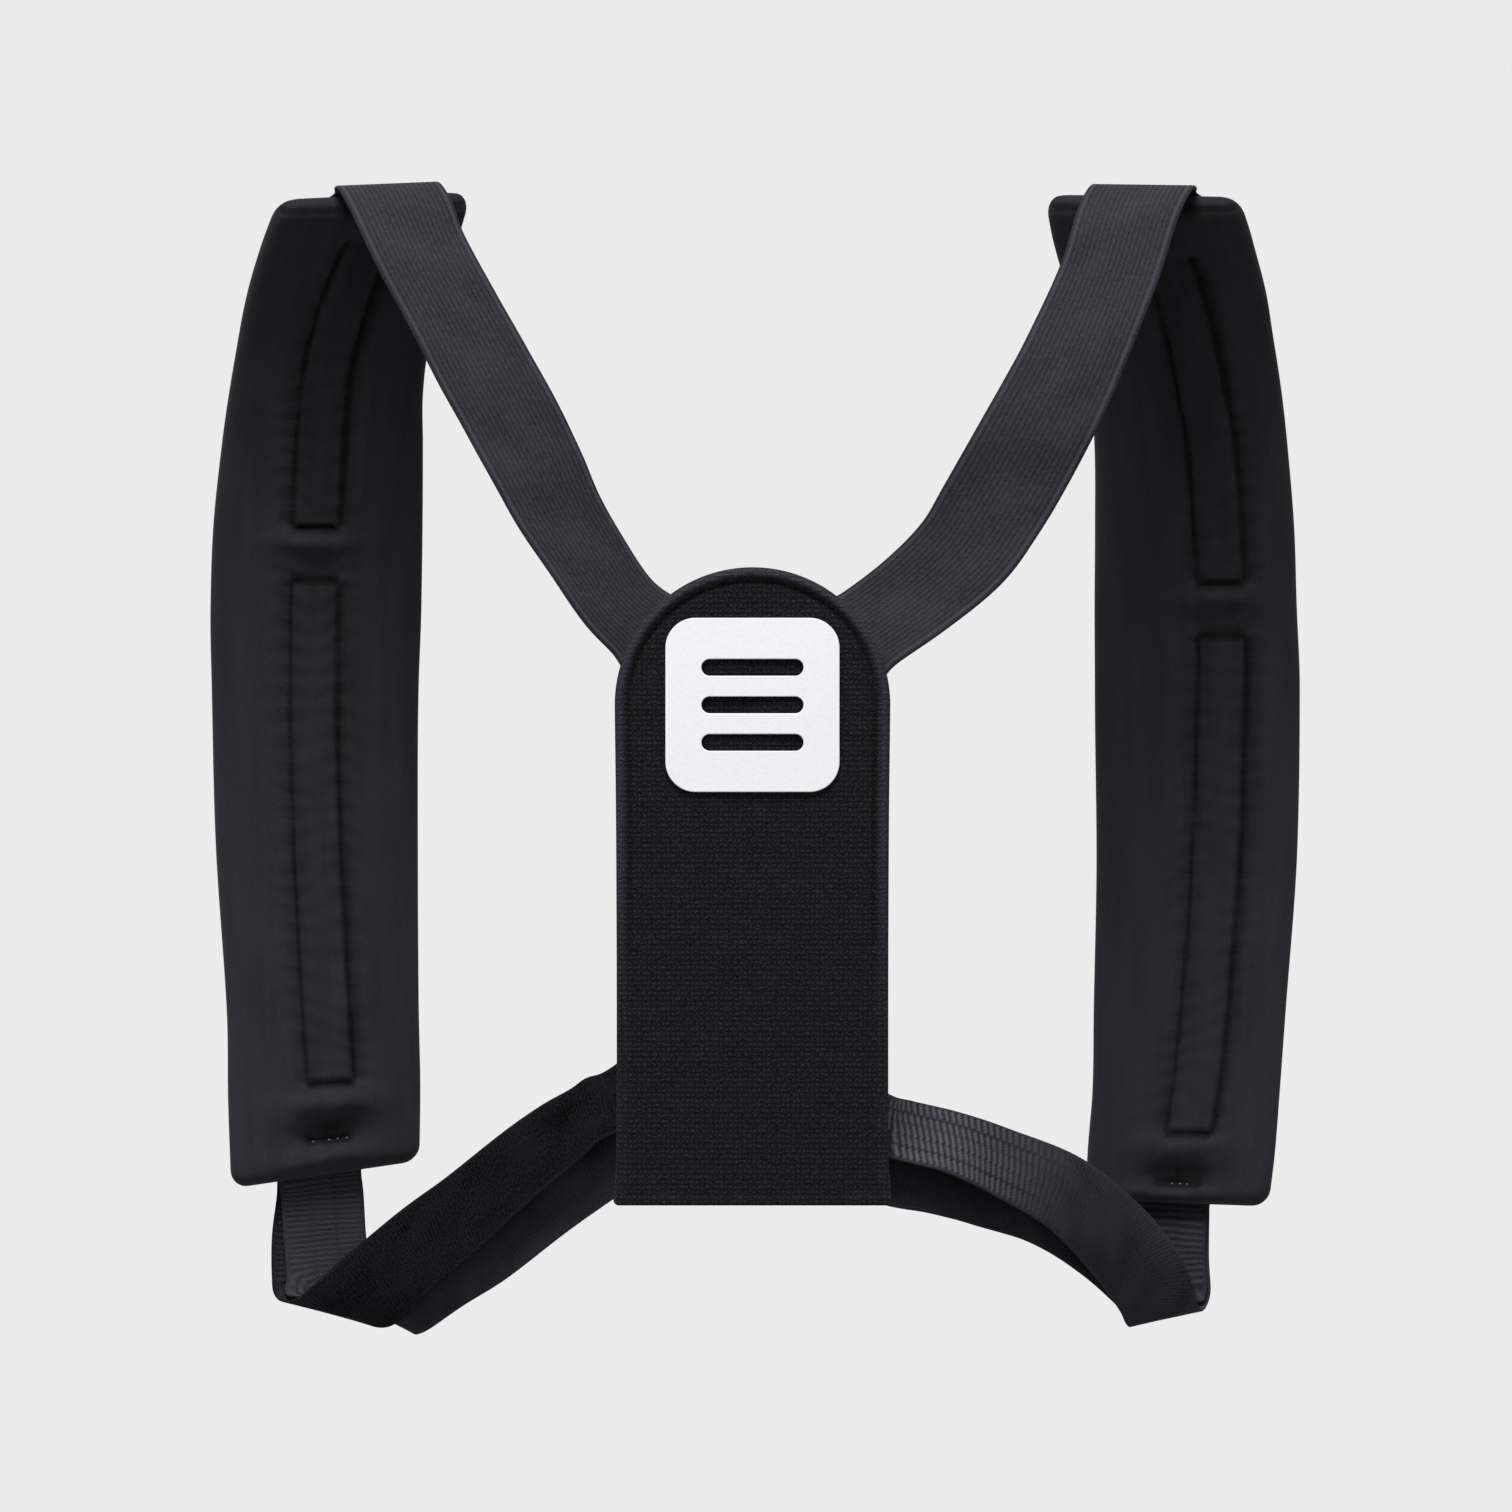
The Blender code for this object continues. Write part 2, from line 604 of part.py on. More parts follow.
def shoulder_strap(side):
    """Sewn to the pad's outer face, over its upper end, and down into the panel."""
    sign = SIDES[side]
    seam_end = PAD_SEAMS[side][1]
    lift = PAD_THICKNESS / 2 + CLEARANCE + STRAP_THICKNESS / 2
    stations = []
    for share in (1.0, 0.87, 0.74, 0.60, 0.46, 0.32, 0.2, 0.1, 0.035):
        point, across = on_pad(side, seam_end * share, lift)
        stations.append((point, across, STRAP_WIDTH))
    top, across = on_pad(side, 0.0, 0.0)
    crest = Vector((top.x, PAD_TOP_FRONT - 0.4 * PAD_THICKNESS, top.z + CREST_RISE))
    lean = Vector((-sign * 0.2 * CREST_RISE, 0, 0))
    shoulder = Vector((top.x, PAD_TOP_FRONT + lift * 0.75, top.z + 0.55 * CREST_RISE)) - lean
    stations += [(shoulder, across, STRAP_WIDTH), (crest, across, STRAP_WIDTH)]
    degrees, tilt, roll = SHOULDER_MOUTHS[side]
    angle = math.radians(degrees)
    arm = Vector((sign * math.cos(angle), 0, math.sin(angle)))
    middle = Vector((0, 0, panel_middle()))
    mouth = middle + arm * PANEL_WIDTH / 2
    mouth.y = rolled_depth(STRAP_THICKNESS, STRAP_WIDTH, roll)
    for inward, back, down, row_tilt, row_roll in SHOULDER_RUNS[side]:
        point = towards(crest, mouth, (inward, back, down))
        stations.append((point, line_across(side, row_tilt, row_roll), STRAP_WIDTH))
    stations.append((mouth, line_across(side, tilt, roll), STRAP_WIDTH))
    # share of the panel's half width from the middle of its round top, share of the roll that is left
    for place, left in ((0.80, 0.55), (0.62, 0.0), (0.42, 0.0)):
        point = middle + arm * place * PANEL_WIDTH / 2
        point.y = rolled_depth(STRAP_THICKNESS, STRAP_WIDTH, roll * left)
        stations.append((point, line_across(side, tilt, roll * left), STRAP_WIDTH))
    return band(f"{side}_shoulder_strap", stations, STRAP_THICKNESS, "elastic")


def gathered_width(place):
    """Width of the webbing at a place along its route: a little less round the fold."""
    return WEBBING_WIDTH * (1 - FOLD_GATHER * max(0, 1 - abs(place - 1) / FOLD_REACH))


def side_path(side):
    """Rows of (place, centre, line across) for the outer layer of a side strap: sewn to the pad's outer face,
    down past its lower end, round a fold and up into the panel. Places are those of the layers' table."""
    sign = SIDES[side]
    seam_start = PAD_SEAMS[side][2]
    last = PAD_ROWS[side][-1][0]
    lift = PAD_THICKNESS / 2 + WEBBING_THICKNESS * 1.5 + CLEARANCE * 2
    path = []
    on_pad_steps = 8
    for step in range(on_pad_steps + 1):
        share = step / on_pad_steps
        down = seam_start + (last - seam_start) * share
        shift = share**2 * SIDE_HANGS[side][0][1] * WEBBING_WIDTH
        path.append((0.0, *on_pad(side, down, lift, shift)))
    exit_point, across = on_pad(side, last, lift)
    span = exit_point.y + PANEL_SETBACK
    turn = math.degrees(math.asin(across.y))
    out, back, drop, tilt, roll = SIDE_FOLDS[side]
    for down, shift, step_back, row_tilt in SIDE_HANGS[side]:
        move = Vector((sign * shift * WEBBING_WIDTH, -step_back * span, -down * LOOP_DROP))
        path.append((down / drop, exit_point + move, line_across(side, row_tilt, turn)))
    fold = Vector((sign * out * HALF_SPAN, exit_point.y - back * span, exit_point.z - drop * LOOP_DROP))
    path.append((1.0, fold, line_across(side, tilt, roll)))
    depth, rise, tilt, roll = SIDE_MOUTHS[side]
    mouth = Vector((sign * PANEL_WIDTH / 2, 0, -PANEL_DROP - depth * PANEL_HEIGHT))
    mouth.y = rolled_depth(WEBBING_THICKNESS, WEBBING_WIDTH, roll)
    for out, front, down, row_tilt, row_roll in reversed(SIDE_RUNS[side]):
        point = towards(mouth, fold, (out, front, down))
        path.append((2 - out, point, line_across(side, row_tilt, row_roll)))
    path.append((2.0, mouth, line_across(side, tilt, roll)))
    for place, left in HIDDEN_ROLLS:
        x = sign * place * PANEL_WIDTH / 2
        z = mouth.z + rise * (1 - place) * PANEL_WIDTH / 2
        y = rolled_depth(WEBBING_THICKNESS, WEBBING_WIDTH, roll * left)
        path.append((3 - place, Vector((x, y, z)), line_across(side, tilt, roll * left)))
    return path


def side_strap_outer(side):
    stations = [(centre, across, gathered_width(place)) for place, centre, across in side_path(side)]
    return band(f"{side}_side_strap_outer", stations, WEBBING_THICKNESS, "webbing")


def side_strap_inner(side):
    """The second layer, which follows the outer one on the inside of its fold."""
    path = side_path(side)
    stations = []
    for i, (place, centre, across) in enumerate(path):
        before, after = path[max(i - 1, 0)][1], path[min(i + 1, len(path) - 1)][1]
        along = (after - before).normalized()
        shift, gap, turn, share = value_at(SIDE_LAYERS[side], place)
        inside = across.cross(along).normalized() * SIDES[side]
        tilt = math.degrees(math.atan2(across.z, -SIDES[side] * across.x)) + turn
        roll = math.degrees(math.asin(across.y)) * share
        own_across = line_across(side, tilt, roll)
        edge = centre + inside * gap * (WEBBING_THICKNESS + CLEARANCE)
        edge += across * (shift - 0.5) * WEBBING_WIDTH / along.cross(across).length
        own_centre = edge + own_across * 0.5 * WEBBING_WIDTH / along.cross(own_across).length
        stations.append((own_centre, own_across, gathered_width(place)))
    return band(f"{side}_side_strap_inner", stations, WEBBING_THICKNESS, "webbing")


def main():
    for old in list(bpy.data.objects):
        bpy.data.objects.remove(old)
    make_materials()
    back_panel()
    inner_leaf()
    emblem_patch()
    for side in SIDES:
        shoulder_pad(side)
        shoulder_strap(side)
        side_strap_outer(side)
        side_strap_inner(side)


main()
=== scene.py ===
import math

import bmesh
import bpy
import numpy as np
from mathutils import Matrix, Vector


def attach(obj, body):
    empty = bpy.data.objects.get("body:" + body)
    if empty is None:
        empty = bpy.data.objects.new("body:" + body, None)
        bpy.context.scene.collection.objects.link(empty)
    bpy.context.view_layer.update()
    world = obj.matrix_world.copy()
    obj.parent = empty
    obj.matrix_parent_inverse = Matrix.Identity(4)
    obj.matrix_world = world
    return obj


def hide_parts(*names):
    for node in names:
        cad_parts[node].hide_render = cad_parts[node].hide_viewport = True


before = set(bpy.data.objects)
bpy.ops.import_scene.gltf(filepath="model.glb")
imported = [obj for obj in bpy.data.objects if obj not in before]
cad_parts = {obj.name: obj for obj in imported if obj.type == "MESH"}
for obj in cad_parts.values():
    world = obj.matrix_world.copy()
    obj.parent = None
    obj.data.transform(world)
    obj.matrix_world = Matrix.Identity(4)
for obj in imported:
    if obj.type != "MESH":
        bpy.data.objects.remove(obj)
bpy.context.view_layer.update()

# Posture corrector, dressed: knit panel, padded shoulder pads, elastic and ribbed webbing, and their
# sewing.
#
# Metres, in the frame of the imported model: +X is the wearer's right, +Y the front and +Z up. Tables
# hold shares of the named sizes and angles in degrees. "Out" is away from the middle, "in" towards it.
# The sizes and the routes of the straps are those of the model's source, made finer here.

CLEARANCE = 0.0003  # gap that is left between pieces that touch
MERGE_DISTANCE = 0.000002
SHARP_ANGLE = 60  # edges that turn by more stay sharp
EDGE_TURNS = (0, 30, 55, 75, 90)  # where the points of a band's round edge lie

# Shoulder pads
HALF_SPAN = 0.158
PAD_HEIGHT = 0.355
PAD_WIDTH = 0.075
PAD_THICKNESS = 0.009
PAD_REACH = 0.045
PAD_TOP_FRONT = 0.003
PAD_TOP_DROP = 0.002
PAD_CORNER = 0.006
PAD_SPACING = 0.0013  # between the rows of its mesh
CHANNEL_WIDTH = 0.017
CHANNEL_DEPTH = 0.0021
STITCH_DENT = 0.0012  # half width of the groove along a stitch line, on the channel's side
PADDING_SLOPE = 0.0028  # and on the padding's side
STITCH_LINE = 0.0008  # half width of the dark line itself
PUCKER_PITCH = 0.0085
PUCKER_RISE = 0.00026
HEM_DEPTH = 0.0022  # from a pad's upper end to the seam of its hem
STITCH_PITCH = 0.0032
TACK_DEPTH = 0.0022
THREAD_WIDTH = 0.00032  # half the thickness of the thread that shows in a tack
PAD_CROWN = 0.0007  # how far the padding swells beside the sewn lines
PUCKER_REACH = 0.007  # how far the puckers reach from the channel's edge
PAD_WAVE = 0.00026  # of the padding's soft unevenness
PAD_WAVE_SIZE = 0.034
EDGE_THINNING = 0.0006  # of a pad's outer face
VALLEY_RISE = 0.0024  # of the dark valley above a bar tack
VALLEY_LENGTH = 0.0042
VALLEY_WIDTH = 0.0145
PAD_LIGHT = 0.54  # shade of the jersey, and the painted light that it gains downwards and towards -X
# Painted light: the pads are painted darker at the top, as in shade, and lighter downwards, and both are
# painted lighter towards -X, as if lit from that side
PAD_PAINTED_LIGHT_BELOW = 0.18
PAD_PAINTED_LIGHT_TOWARDS_LEFT = 0.06

# Back panel
PANEL_WIDTH = 0.092
PANEL_HEIGHT = 0.213
PANEL_THICKNESS = 0.003
PANEL_SETBACK = 0.066
PANEL_DROP = 0.134
PANEL_CORNER = 0.002
PANEL_FOOT = -PANEL_DROP - PANEL_HEIGHT
PANEL_MIDDLE = -PANEL_DROP - PANEL_WIDTH / 2  # height of the centre of its round top
PANEL_INNER_FACE = -PANEL_SETBACK + PANEL_THICKNESS
RIM_WIDTH = 0.0042
RIM_RISE = 0.0011
GROOVE_WIDTH = 0.0011
PANEL_ROWS = 220  # of its mesh
PANEL_ARC_ROWS = 90
PANEL_COLUMNS = 44
PANEL_WAVE = 0.00018  # of its soft unevenness
PANEL_WAVE_SIZE = 0.026
# Shares of the way up the straight part and of the full width
PANEL_FLARE = ((0.0, 1.012), (0.10, 0.988), (0.3, 0.985), (0.75, 0.99), (1.0, 1.0))
KNIT_SHADE = 0.10  # of the plain knit, and what the other parts add to it
SELVEDGE_SHADE = 0.10
# The rim and its crest carry a painted highlight, the groove inside the rim a painted shade
RIM_PAINTED_HIGHLIGHT = 0.08
CREST_PAINTED_HIGHLIGHT = 0.62
GROOVE_PAINTED_SHADE = -0.2
COURSE_PITCH = 0.0017  # between the level courses of the knit
WALE_PITCH = 0.0016  # between its upright rows of loops
COURSE_UNEVENNESS = 3.0
WALE_UNEVENNESS = 7.0
LOOP_UNEVENNESS_SCALE = 2.5
WAVE_SCALE = math.pi / 10  # of a wave texture whose bands lie a metre apart
INNER_LEAF_WIDTH = 0.032
INNER_LEAF_THICKNESS = 0.002
LEAF_COLUMNS = 10

# White patch on the panel
PATCH_SIZE = 0.058
PATCH_CORNER = 0.010
PATCH_THICKNESS = 0.0012
PATCH_DROP = 0.046
PATCH_BEVEL = 0.0003
SLOT_COUNT = 3
SLOT_LENGTH = 0.034
SLOT_WIDTH = 0.0056
SLOT_PITCH = 0.0125

# Straps
STRAP_WIDTH = 0.0365
STRAP_THICKNESS = 0.0013
WEBBING_WIDTH = 0.030
WEBBING_THICKNESS = 0.0013
CREST_RISE = 0.0034  # how high a strap passes over its pad's upper end
LOOP_DROP = 0.048  # how far the side straps hang below a pad's lower end
FOLD_GATHER = 0.13  # share of its width that the webbing gathers at its fold
FOLD_REACH = 0.14  # how far from the fold it does so, in places along its route
ROLL_ROOM = 1.2  # share of a strap's half width that its rolled mouth is given
STRAP_SMOOTHING = 0.0022  # reach of the smoothing along a strap's route
ELASTIC_SPACING = 0.0011  # between the rows of its mesh
ELASTIC_COLUMNS = 94
WEBBING_SPACING = 0.00056
WEBBING_COLUMNS = 24
WEAVE_RELIEF = 0.00007
RIB_RELIEF = 0.00020
ELASTIC_PITCH = 0.0018  # between the lengthwise ribs
FLOAT_LENGTH = 0.0046  # of the thread floats that break them
ELASTIC_SELVEDGE = 0.0016
WEBBING_SELVEDGE = 0.0012
SELVEDGE_SOFTNESS = 0.0002
BRIGHT_THREAD = 0.0004  # half width of the thread beside the elastic's selvedge
TWILL_PITCH = 0.0013  # of the webbing's plain ground
TWILL_SLANT = 0.8
LANE_GAP = (0.78, 0.97)  # where the gap beside a lane of ribs starts and is full

SIDES = {"left": -1, "right": 1}

# Pads from top to bottom: shares of the height, of the half span and of the reach for the centre line,
# width share, turn and rise of the inner edge, and the seam's place out of the centre line
PAD_ROWS = {
    "left": (
        # down, out, front, width, turn, cant, seam
        (0.000, 0.833, 0.00, 0.872, 17, 0.08, -0.060),
        (0.043, 0.872, 0.20, 0.893, 15, 0.05, -0.028),
        (0.090, 0.910, 0.42, 0.901, 13, 0.03, 0.000),
        (0.138, 0.941, 0.60, 0.894, 10, 0.02, 0.008),
        (0.187, 0.961, 0.73, 0.910, 8, 0.01, 0.013),
        (0.237, 0.972, 0.84, 0.949, 6, 0.00, 0.010),
        (0.318, 0.985, 0.94, 0.993, 4, 0.00, 0.007),
        (0.400, 0.991, 0.99, 1.004, 3, 0.00, 0.005),
        (0.480, 0.993, 1.00, 0.985, 3, 0.00, 0.005),
        (0.640, 0.987, 0.93, 0.955, 6, 0.00, 0.000),
        (0.805, 0.969, 0.78, 0.894, 12, 0.02, -0.010),
        (0.885, 0.963, 0.68, 0.886, 16, 0.06, -0.020),
        (0.967, 0.957, 0.56, 0.859, 19, 0.12, 0.006),
    ),
    "right": (
        (0.000, 0.858, 0.00, 0.878, 17, 0.05, 0.010),
        (0.043, 0.889, 0.20, 0.907, 15, 0.02, 0.055),
        (0.090, 0.925, 0.42, 0.908, 13, 0.00, 0.068),
        (0.138, 0.954, 0.60, 0.895, 10, 0.00, 0.075),
        (0.187, 0.976, 0.74, 0.898, 8, 0.00, 0.081),
        (0.237, 0.990, 0.84, 0.910, 6, 0.00, 0.098),
        (0.318, 1.001, 0.94, 0.945, 4, 0.00, 0.110),
        (0.400, 1.005, 0.99, 0.963, 3, 0.00, 0.118),
        (0.480, 1.009, 1.00, 0.976, 3, 0.00, 0.115),
        (0.640, 1.006, 0.93, 0.950, 6, 0.00, 0.095),
        (0.805, 0.985, 0.78, 0.894, 12, 0.00, 0.079),
        (0.885, 0.974, 0.68, 0.862, 16, 0.00, 0.056),
        (0.944, 0.961, 0.60, 0.856, 18, 0.00, 0.033),
        (0.995, 0.949, 0.52, 0.832, 20, 0.00, -0.008),
    ),
}

# Where the sewn channels and the bar tack lie along each pad, as shares of its height
PAD_SEAMS = {
    # upper channel's start and end, lower channel's start and end, bar tack
    "left": (0.035, 0.318, 0.373, 0.878, 0.934),
    "right": (0.050, 0.375, 0.429, 0.928, 0.977),
}

# Bulges and dents of the padding where the sewn lines start and end
PAD_SWELLS = (
    # seam in PAD_SEAMS, height, place past it, reach along, place inwards, reach across
    (1, 0.0026, 0.0055, 0.0042, -0.002, 0.014),
    (2, -0.0017, -0.0045, 0.005, 0.004, 0.012),
    (4, -0.0038, -0.0026, 0.0046, 0.0, 0.014),
    (4, 0.0032, -0.0125, 0.0044, 0.0, 0.017),
    (4, 0.0028, 0.0056, 0.0036, 0.0, 0.016),
)

# Stitches that catch the light in a tack: place across it, length as a multiple of the thread's width
TACK_STITCHES = {
    "left": ((0.18, 1.3), (0.52, 1.6), (0.70, 1.1), (0.90, 1.7)),
    "right": ((0.30, 1.2), (0.45, 1.7), (0.62, 1.5)),
}

# Shoulder straps from the crest to the panel: shares of the way; tilt of the line across, and how far
# its inner end is rolled forward
SHOULDER_RUNS = {
    "left": (
        # in, back, down, tilt, roll
        (0.060, 0.220, 0.050, 8, 20),
        (0.147, 0.420, 0.162, 24, 32),
        (0.277, 0.600, 0.301, 27, 32),
        (0.405, 0.730, 0.439, 29, 29),
        (0.493, 0.810, 0.530, 29, 29),
        (0.613, 0.900, 0.664, 28, 33),
        (0.688, 0.940, 0.753, 29, 38),
        (0.782, 0.970, 0.841, 33, 42),
        (0.910, 0.995, 0.952, 41, 43),
    ),
    "right": (
        (0.062, 0.240, 0.060, 8, 22),
        (0.145, 0.470, 0.212, 21, 28),
        (0.283, 0.700, 0.410, 24, 20),
        (0.366, 0.800, 0.514, 27, 12),
        (0.489, 0.890, 0.654, 31, 4),
        (0.574, 0.935, 0.743, 34, 12),
        (0.668, 0.965, 0.831, 38, 22),
        (0.822, 0.990, 0.919, 46, 31),
    ),
}

# Where the shoulder straps enter the panel: angle on its round top, tilt and roll
SHOULDER_MOUTHS = {"left": (36.5, 46, 40), "right": (33.5, 52, 34)}

# Side straps from the panel to the lowest point of the fold: shares of the way; tilt and roll as above
SIDE_RUNS = {
    "left": (
        # out, front, down, tilt, roll
        (0.084, 0.070, 0.057, -55, -55),
        (0.183, 0.160, 0.150, -54, -47),
        (0.330, 0.310, 0.300, -53, -41),
        (0.530, 0.520, 0.525, -52, -33),
        (0.684, 0.690, 0.685, -51, -26),
        (0.837, 0.840, 0.865, -45, -12),
        (0.930, 0.920, 0.962, -30, 5),
    ),
    "right": (
        (0.060, 0.030, 0.024, -73, -54),
        (0.220, 0.130, 0.084, -67, -54),
        (0.380, 0.260, 0.177, -61, -49),
        (0.618, 0.450, 0.345, -49, -37),
        (0.815, 0.680, 0.595, -40, -22),
        (0.945, 0.860, 0.835, -30, -1),
    ),
}

# Where the side straps enter the panel: share of its height, rise inwards, tilt and roll
SIDE_MOUTHS = {"left": (0.838, 0.65, -56, -53), "right": (0.882, 0.50, -74, -53)}

# How the side straps unroll behind the panel: share of its half width, share of the roll that is left
HIDDEN_ROLLS = (
    (0.96, 1.0), (0.87, 1.0), (0.80, 0.82), (0.75, 0.42), (0.71, 0.08), (0.68, 0.0), (0.37, 0.0),
)

# The side straps' folds: shares of the half span out, of the way back to the panel and of the drop;
# tilt and roll
SIDE_FOLDS = {"left": (0.945, 0.115, 0.985, -17, 16), "right": (0.922, 0.115, 0.810, -14, 16)}

# The hanging stretch between pad and fold, in the same shares, with its shift out in strap widths
SIDE_HANGS = {
    # down, shift, back, tilt
    "left": ((0.10, 0.02, 0.010, 0), (0.50, 0.08, 0.035, -4), (0.82, 0.06, 0.066, -12)),
    "right": ((0.08, -0.14, 0.010, 0), (0.40, -0.15, 0.035, -4), (0.66, -0.13, 0.064, -10)),
}

# A side strap's inner layer. Place is 0 at the pad, 1 at the fold, 2 at the panel and 3 at the end. Shift
# is in strap widths, gap in layers, and roll is a share of the outer layer's
SIDE_LAYERS = {
    "left": (
        # place, shift, gap, turn, roll
        (0.00, 0.00, 1.0, 0, 1.00),
        (0.50, 0.14, 1.2, 0, 1.00),
        (1.00, 0.23, 1.8, 2, 1.00),
        (1.18, 0.27, 2.2, 1, 0.70),
        (1.50, 0.39, 1.6, 0, 0.54),
        (2.00, 0.45, 1.2, 0, 0.46),
        (3.00, 0.45, 1.0, 0, 0.46),
    ),
    "right": (
        (0.00, 0.00, 1.0, 0, 1.00),
        (0.50, 0.03, 1.2, 0, 1.00),
        (1.00, 0.01, 1.9, 0, 1.00),
        (1.15, 0.03, 2.2, 0, 0.72),
        (1.38, 0.14, 1.6, 0, 0.58),
        (1.62, 0.22, 1.4, 0, 0.56),
        (2.00, 0.34, 1.2, 0, 0.54),
        (3.00, 0.34, 1.0, 0, 0.54),
    ),
}

# Ribs of the webbing, by side and layer: pitch as a share of the width; lanes and the depth of the gaps
# between them; strength on the stretch that hangs, past the fold and beside the panel; how light the
# plain twill between is. Strength and twill differ by side and layer partly as painted light and shade:
# the left outer layer is painted dark, its ribs gone beside the panel, as in shadow, and the right outer
# layer's ribs are painted bright beside the panel as a painted highlight
RIBS = {
    # pitch, lanes, lane depth, hanging, past the fold, beside the panel, twill
    ("left", "outer"): (0.060, 3, 0.25, 0.25, 0.04, 0.00, 0.05),
    ("left", "inner"): (0.060, 3, 0.25, 0.42, 0.07, 0.07, 0.22),
    ("right", "outer"): (0.084, 5, 0.75, 0.40, 0.05, 1.25, 0.24),
    ("right", "inner"): (0.084, 3, 0.25, 0.36, 0.03, 0.03, 0.17),
}
RIBS_RETURN = 0.082  # how far from the panel a strap's ribs start to change again

# Colours at the dark end, in the dents and the painted shade, and at the light end, on the crests and the
# painted highlights; sizes of the grain and of the unevenness, strength and distance of the bump, and how
# much grain, unevenness and loops change the shade
DEEP = (0.0002, 0.0002, 0.0003)
CLOTHS = {
    "knit": {
        "dark": DEEP, "light": (0.0150, 0.0140, 0.0190), "roughness": 0.95,
        "thread": (0.0011, 0.0007), "mottle": (0.010, 0.004), "bump": (0.9, 0.0004),
        "contrast": (0.8, 0.25), "loops": 0.50,
    },
    "jersey": {
        "dark": DEEP, "light": (0.0110, 0.0106, 0.0140), "roughness": 0.85,
        "thread": (0.0014, 0.0007), "mottle": (0.006, 0.05), "bump": (0.4, 0.0002),
        "contrast": (0.55, 0.55),
    },
    "elastic": {
        "dark": (0.0012, 0.0011, 0.0018), "light": (0.0185, 0.0178, 0.0235), "roughness": 0.8,
        "thread": (0.0006, 0.0011), "mottle": (0.008, 0.014), "bump": (0.8, 0.0004),
        "contrast": (0.9, 0.30),
    },
    "webbing": {
        "dark": DEEP, "light": (0.0560, 0.0540, 0.0670), "roughness": 0.9,
        "thread": (0.0012, 0.0006), "mottle": (0.010, 0.020), "bump": (0.7, 0.0003),
        "contrast": (0.30, 0.10), "sheen": 0.0, "gloss": 0.02,
    },
}
THREAD_COLOUR = (0.045, 0.043, 0.050)
PATCH_COLOURS = ((0.405, 0.405, 0.418), (0.455, 0.455, 0.469))

# Camera, at the height of the model's middle and square to its back
CAMERA_PLACE = (0.00117, -1.566, -0.197)
CAMERA_LENS = 107.14
CAMERA_SENSOR = 36.0

BACKDROP = (0.838, 0.838, 0.838)
KEY_PLACE = (-0.25, -0.95, 1.55)
KEY_TARGET = (0, 0, -0.2)
KEY_SIZE = 0.9
KEY_POWER = 100
FLOOR_COLOUR = (0.42, 0.42, 0.42)
FLOOR_HEIGHT = -0.75
FLOOR_REACH = 1.6


def value_at(rows, place):
    """The columns of a table at a place in its first column, on a smooth curve that never overshoots."""
    place = min(max(place, rows[0][0]), rows[-1][0])
    index = max(i for i in range(len(rows) - 1) if rows[i][0] <= place)
    keys = [row[0] for row in rows]

    def rise(i, column):
        return (rows[i + 1][column] - rows[i][column]) / (keys[i + 1] - keys[i])

    def slope(i, column):
        if i in (0, len(rows) - 1):
            return rise(min(i, len(rows) - 2), column)
        before, after = rise(i - 1, column), rise(i, column)
        if before * after <= 0:
            return 0.0
        mean = (rows[i + 1][column] - rows[i - 1][column]) / (keys[i + 1] - keys[i - 1])
        steepest = 3 * min(abs(before), abs(after))
        return math.copysign(min(abs(mean), steepest), mean)

    span = keys[index + 1] - keys[index]
    t = (place - keys[index]) / span
    result = []
    for column in range(1, len(rows[0])):
        start, end = rows[index][column], rows[index + 1][column]
        leave, arrive = slope(index, column) * span, slope(index + 1, column) * span
        result.append(
            start * (2 * t**3 - 3 * t**2 + 1)
            + leave * (t**3 - 2 * t**2 + t)
            + end * (3 * t**2 - 2 * t**3)
            + arrive * (t**3 - t**2)
        )
    return result


def ramp(value, low, high):
    """0 below low and 1 above high, smooth between."""
    t = np.clip((value - low) / (high - low), 0.0, 1.0)
    return t * t * (3 - 2 * t)


def bell(distance, width):
    """1 at no distance, falling off over a width to each side."""
    return np.exp(-((distance / width) ** 2))


def ripple(u, v, size, seed):
    """Soft unevenness between about -1 and 1, of a given size, the same in each run."""
    random = np.random.default_rng(seed)
    total = 0.0
    waves = 9
    for turn, phase, share in random.uniform((0, 0, 0.6), (2 * math.pi, 2 * math.pi, 1.6), (waves, 3)):
        along = u * math.cos(turn) + v * math.sin(turn)
        total = total + np.cos(2 * math.pi * along / (size * share) + phase)
    return total / math.sqrt(waves)


# Meshes


def add_object(name, data):
    made = bpy.data.objects.new(name, data)
    bpy.context.collection.objects.link(made)
    return made


def make_piece(name, points, faces, material, u, v, tone_and_painted_light):
    """A mesh object with its weave coordinates in metres and its tone with painted light and shade, from
    0 in the dents and the painted shade to 1.
    """
    data = bpy.data.meshes.new(name)
    data.from_pydata(points.tolist(), [], faces)
    data.update()
    corners = np.empty(len(data.loops), dtype=np.int32)
    data.loops.foreach_get("vertex_index", corners)
    weave = data.uv_layers.new(name="weave")
    weave.data.foreach_set("uv", np.stack((u, v), axis=1)[corners].astype(np.float32).ravel())
    # The tone stored on each point carries painted light and shade as well as the weave's own pattern
    shade = data.attributes.new("tone_and_painted_light", "FLOAT", "POINT")
    shade.data.foreach_set("value", tone_and_painted_light.astype(np.float32))
    mesh = bmesh.new()
    mesh.from_mesh(data)
    bmesh.ops.remove_doubles(mesh, verts=mesh.verts, dist=MERGE_DISTANCE)
    bmesh.ops.recalc_face_normals(mesh, faces=mesh.faces)
    mesh.to_mesh(data)
    mesh.free()
    data.shade_smooth()
    data.set_sharp_from_angle(angle=math.radians(SHARP_ANGLE))
    data.materials.append(material)
    piece = add_object(name, data)
    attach(piece, "root")
    return piece


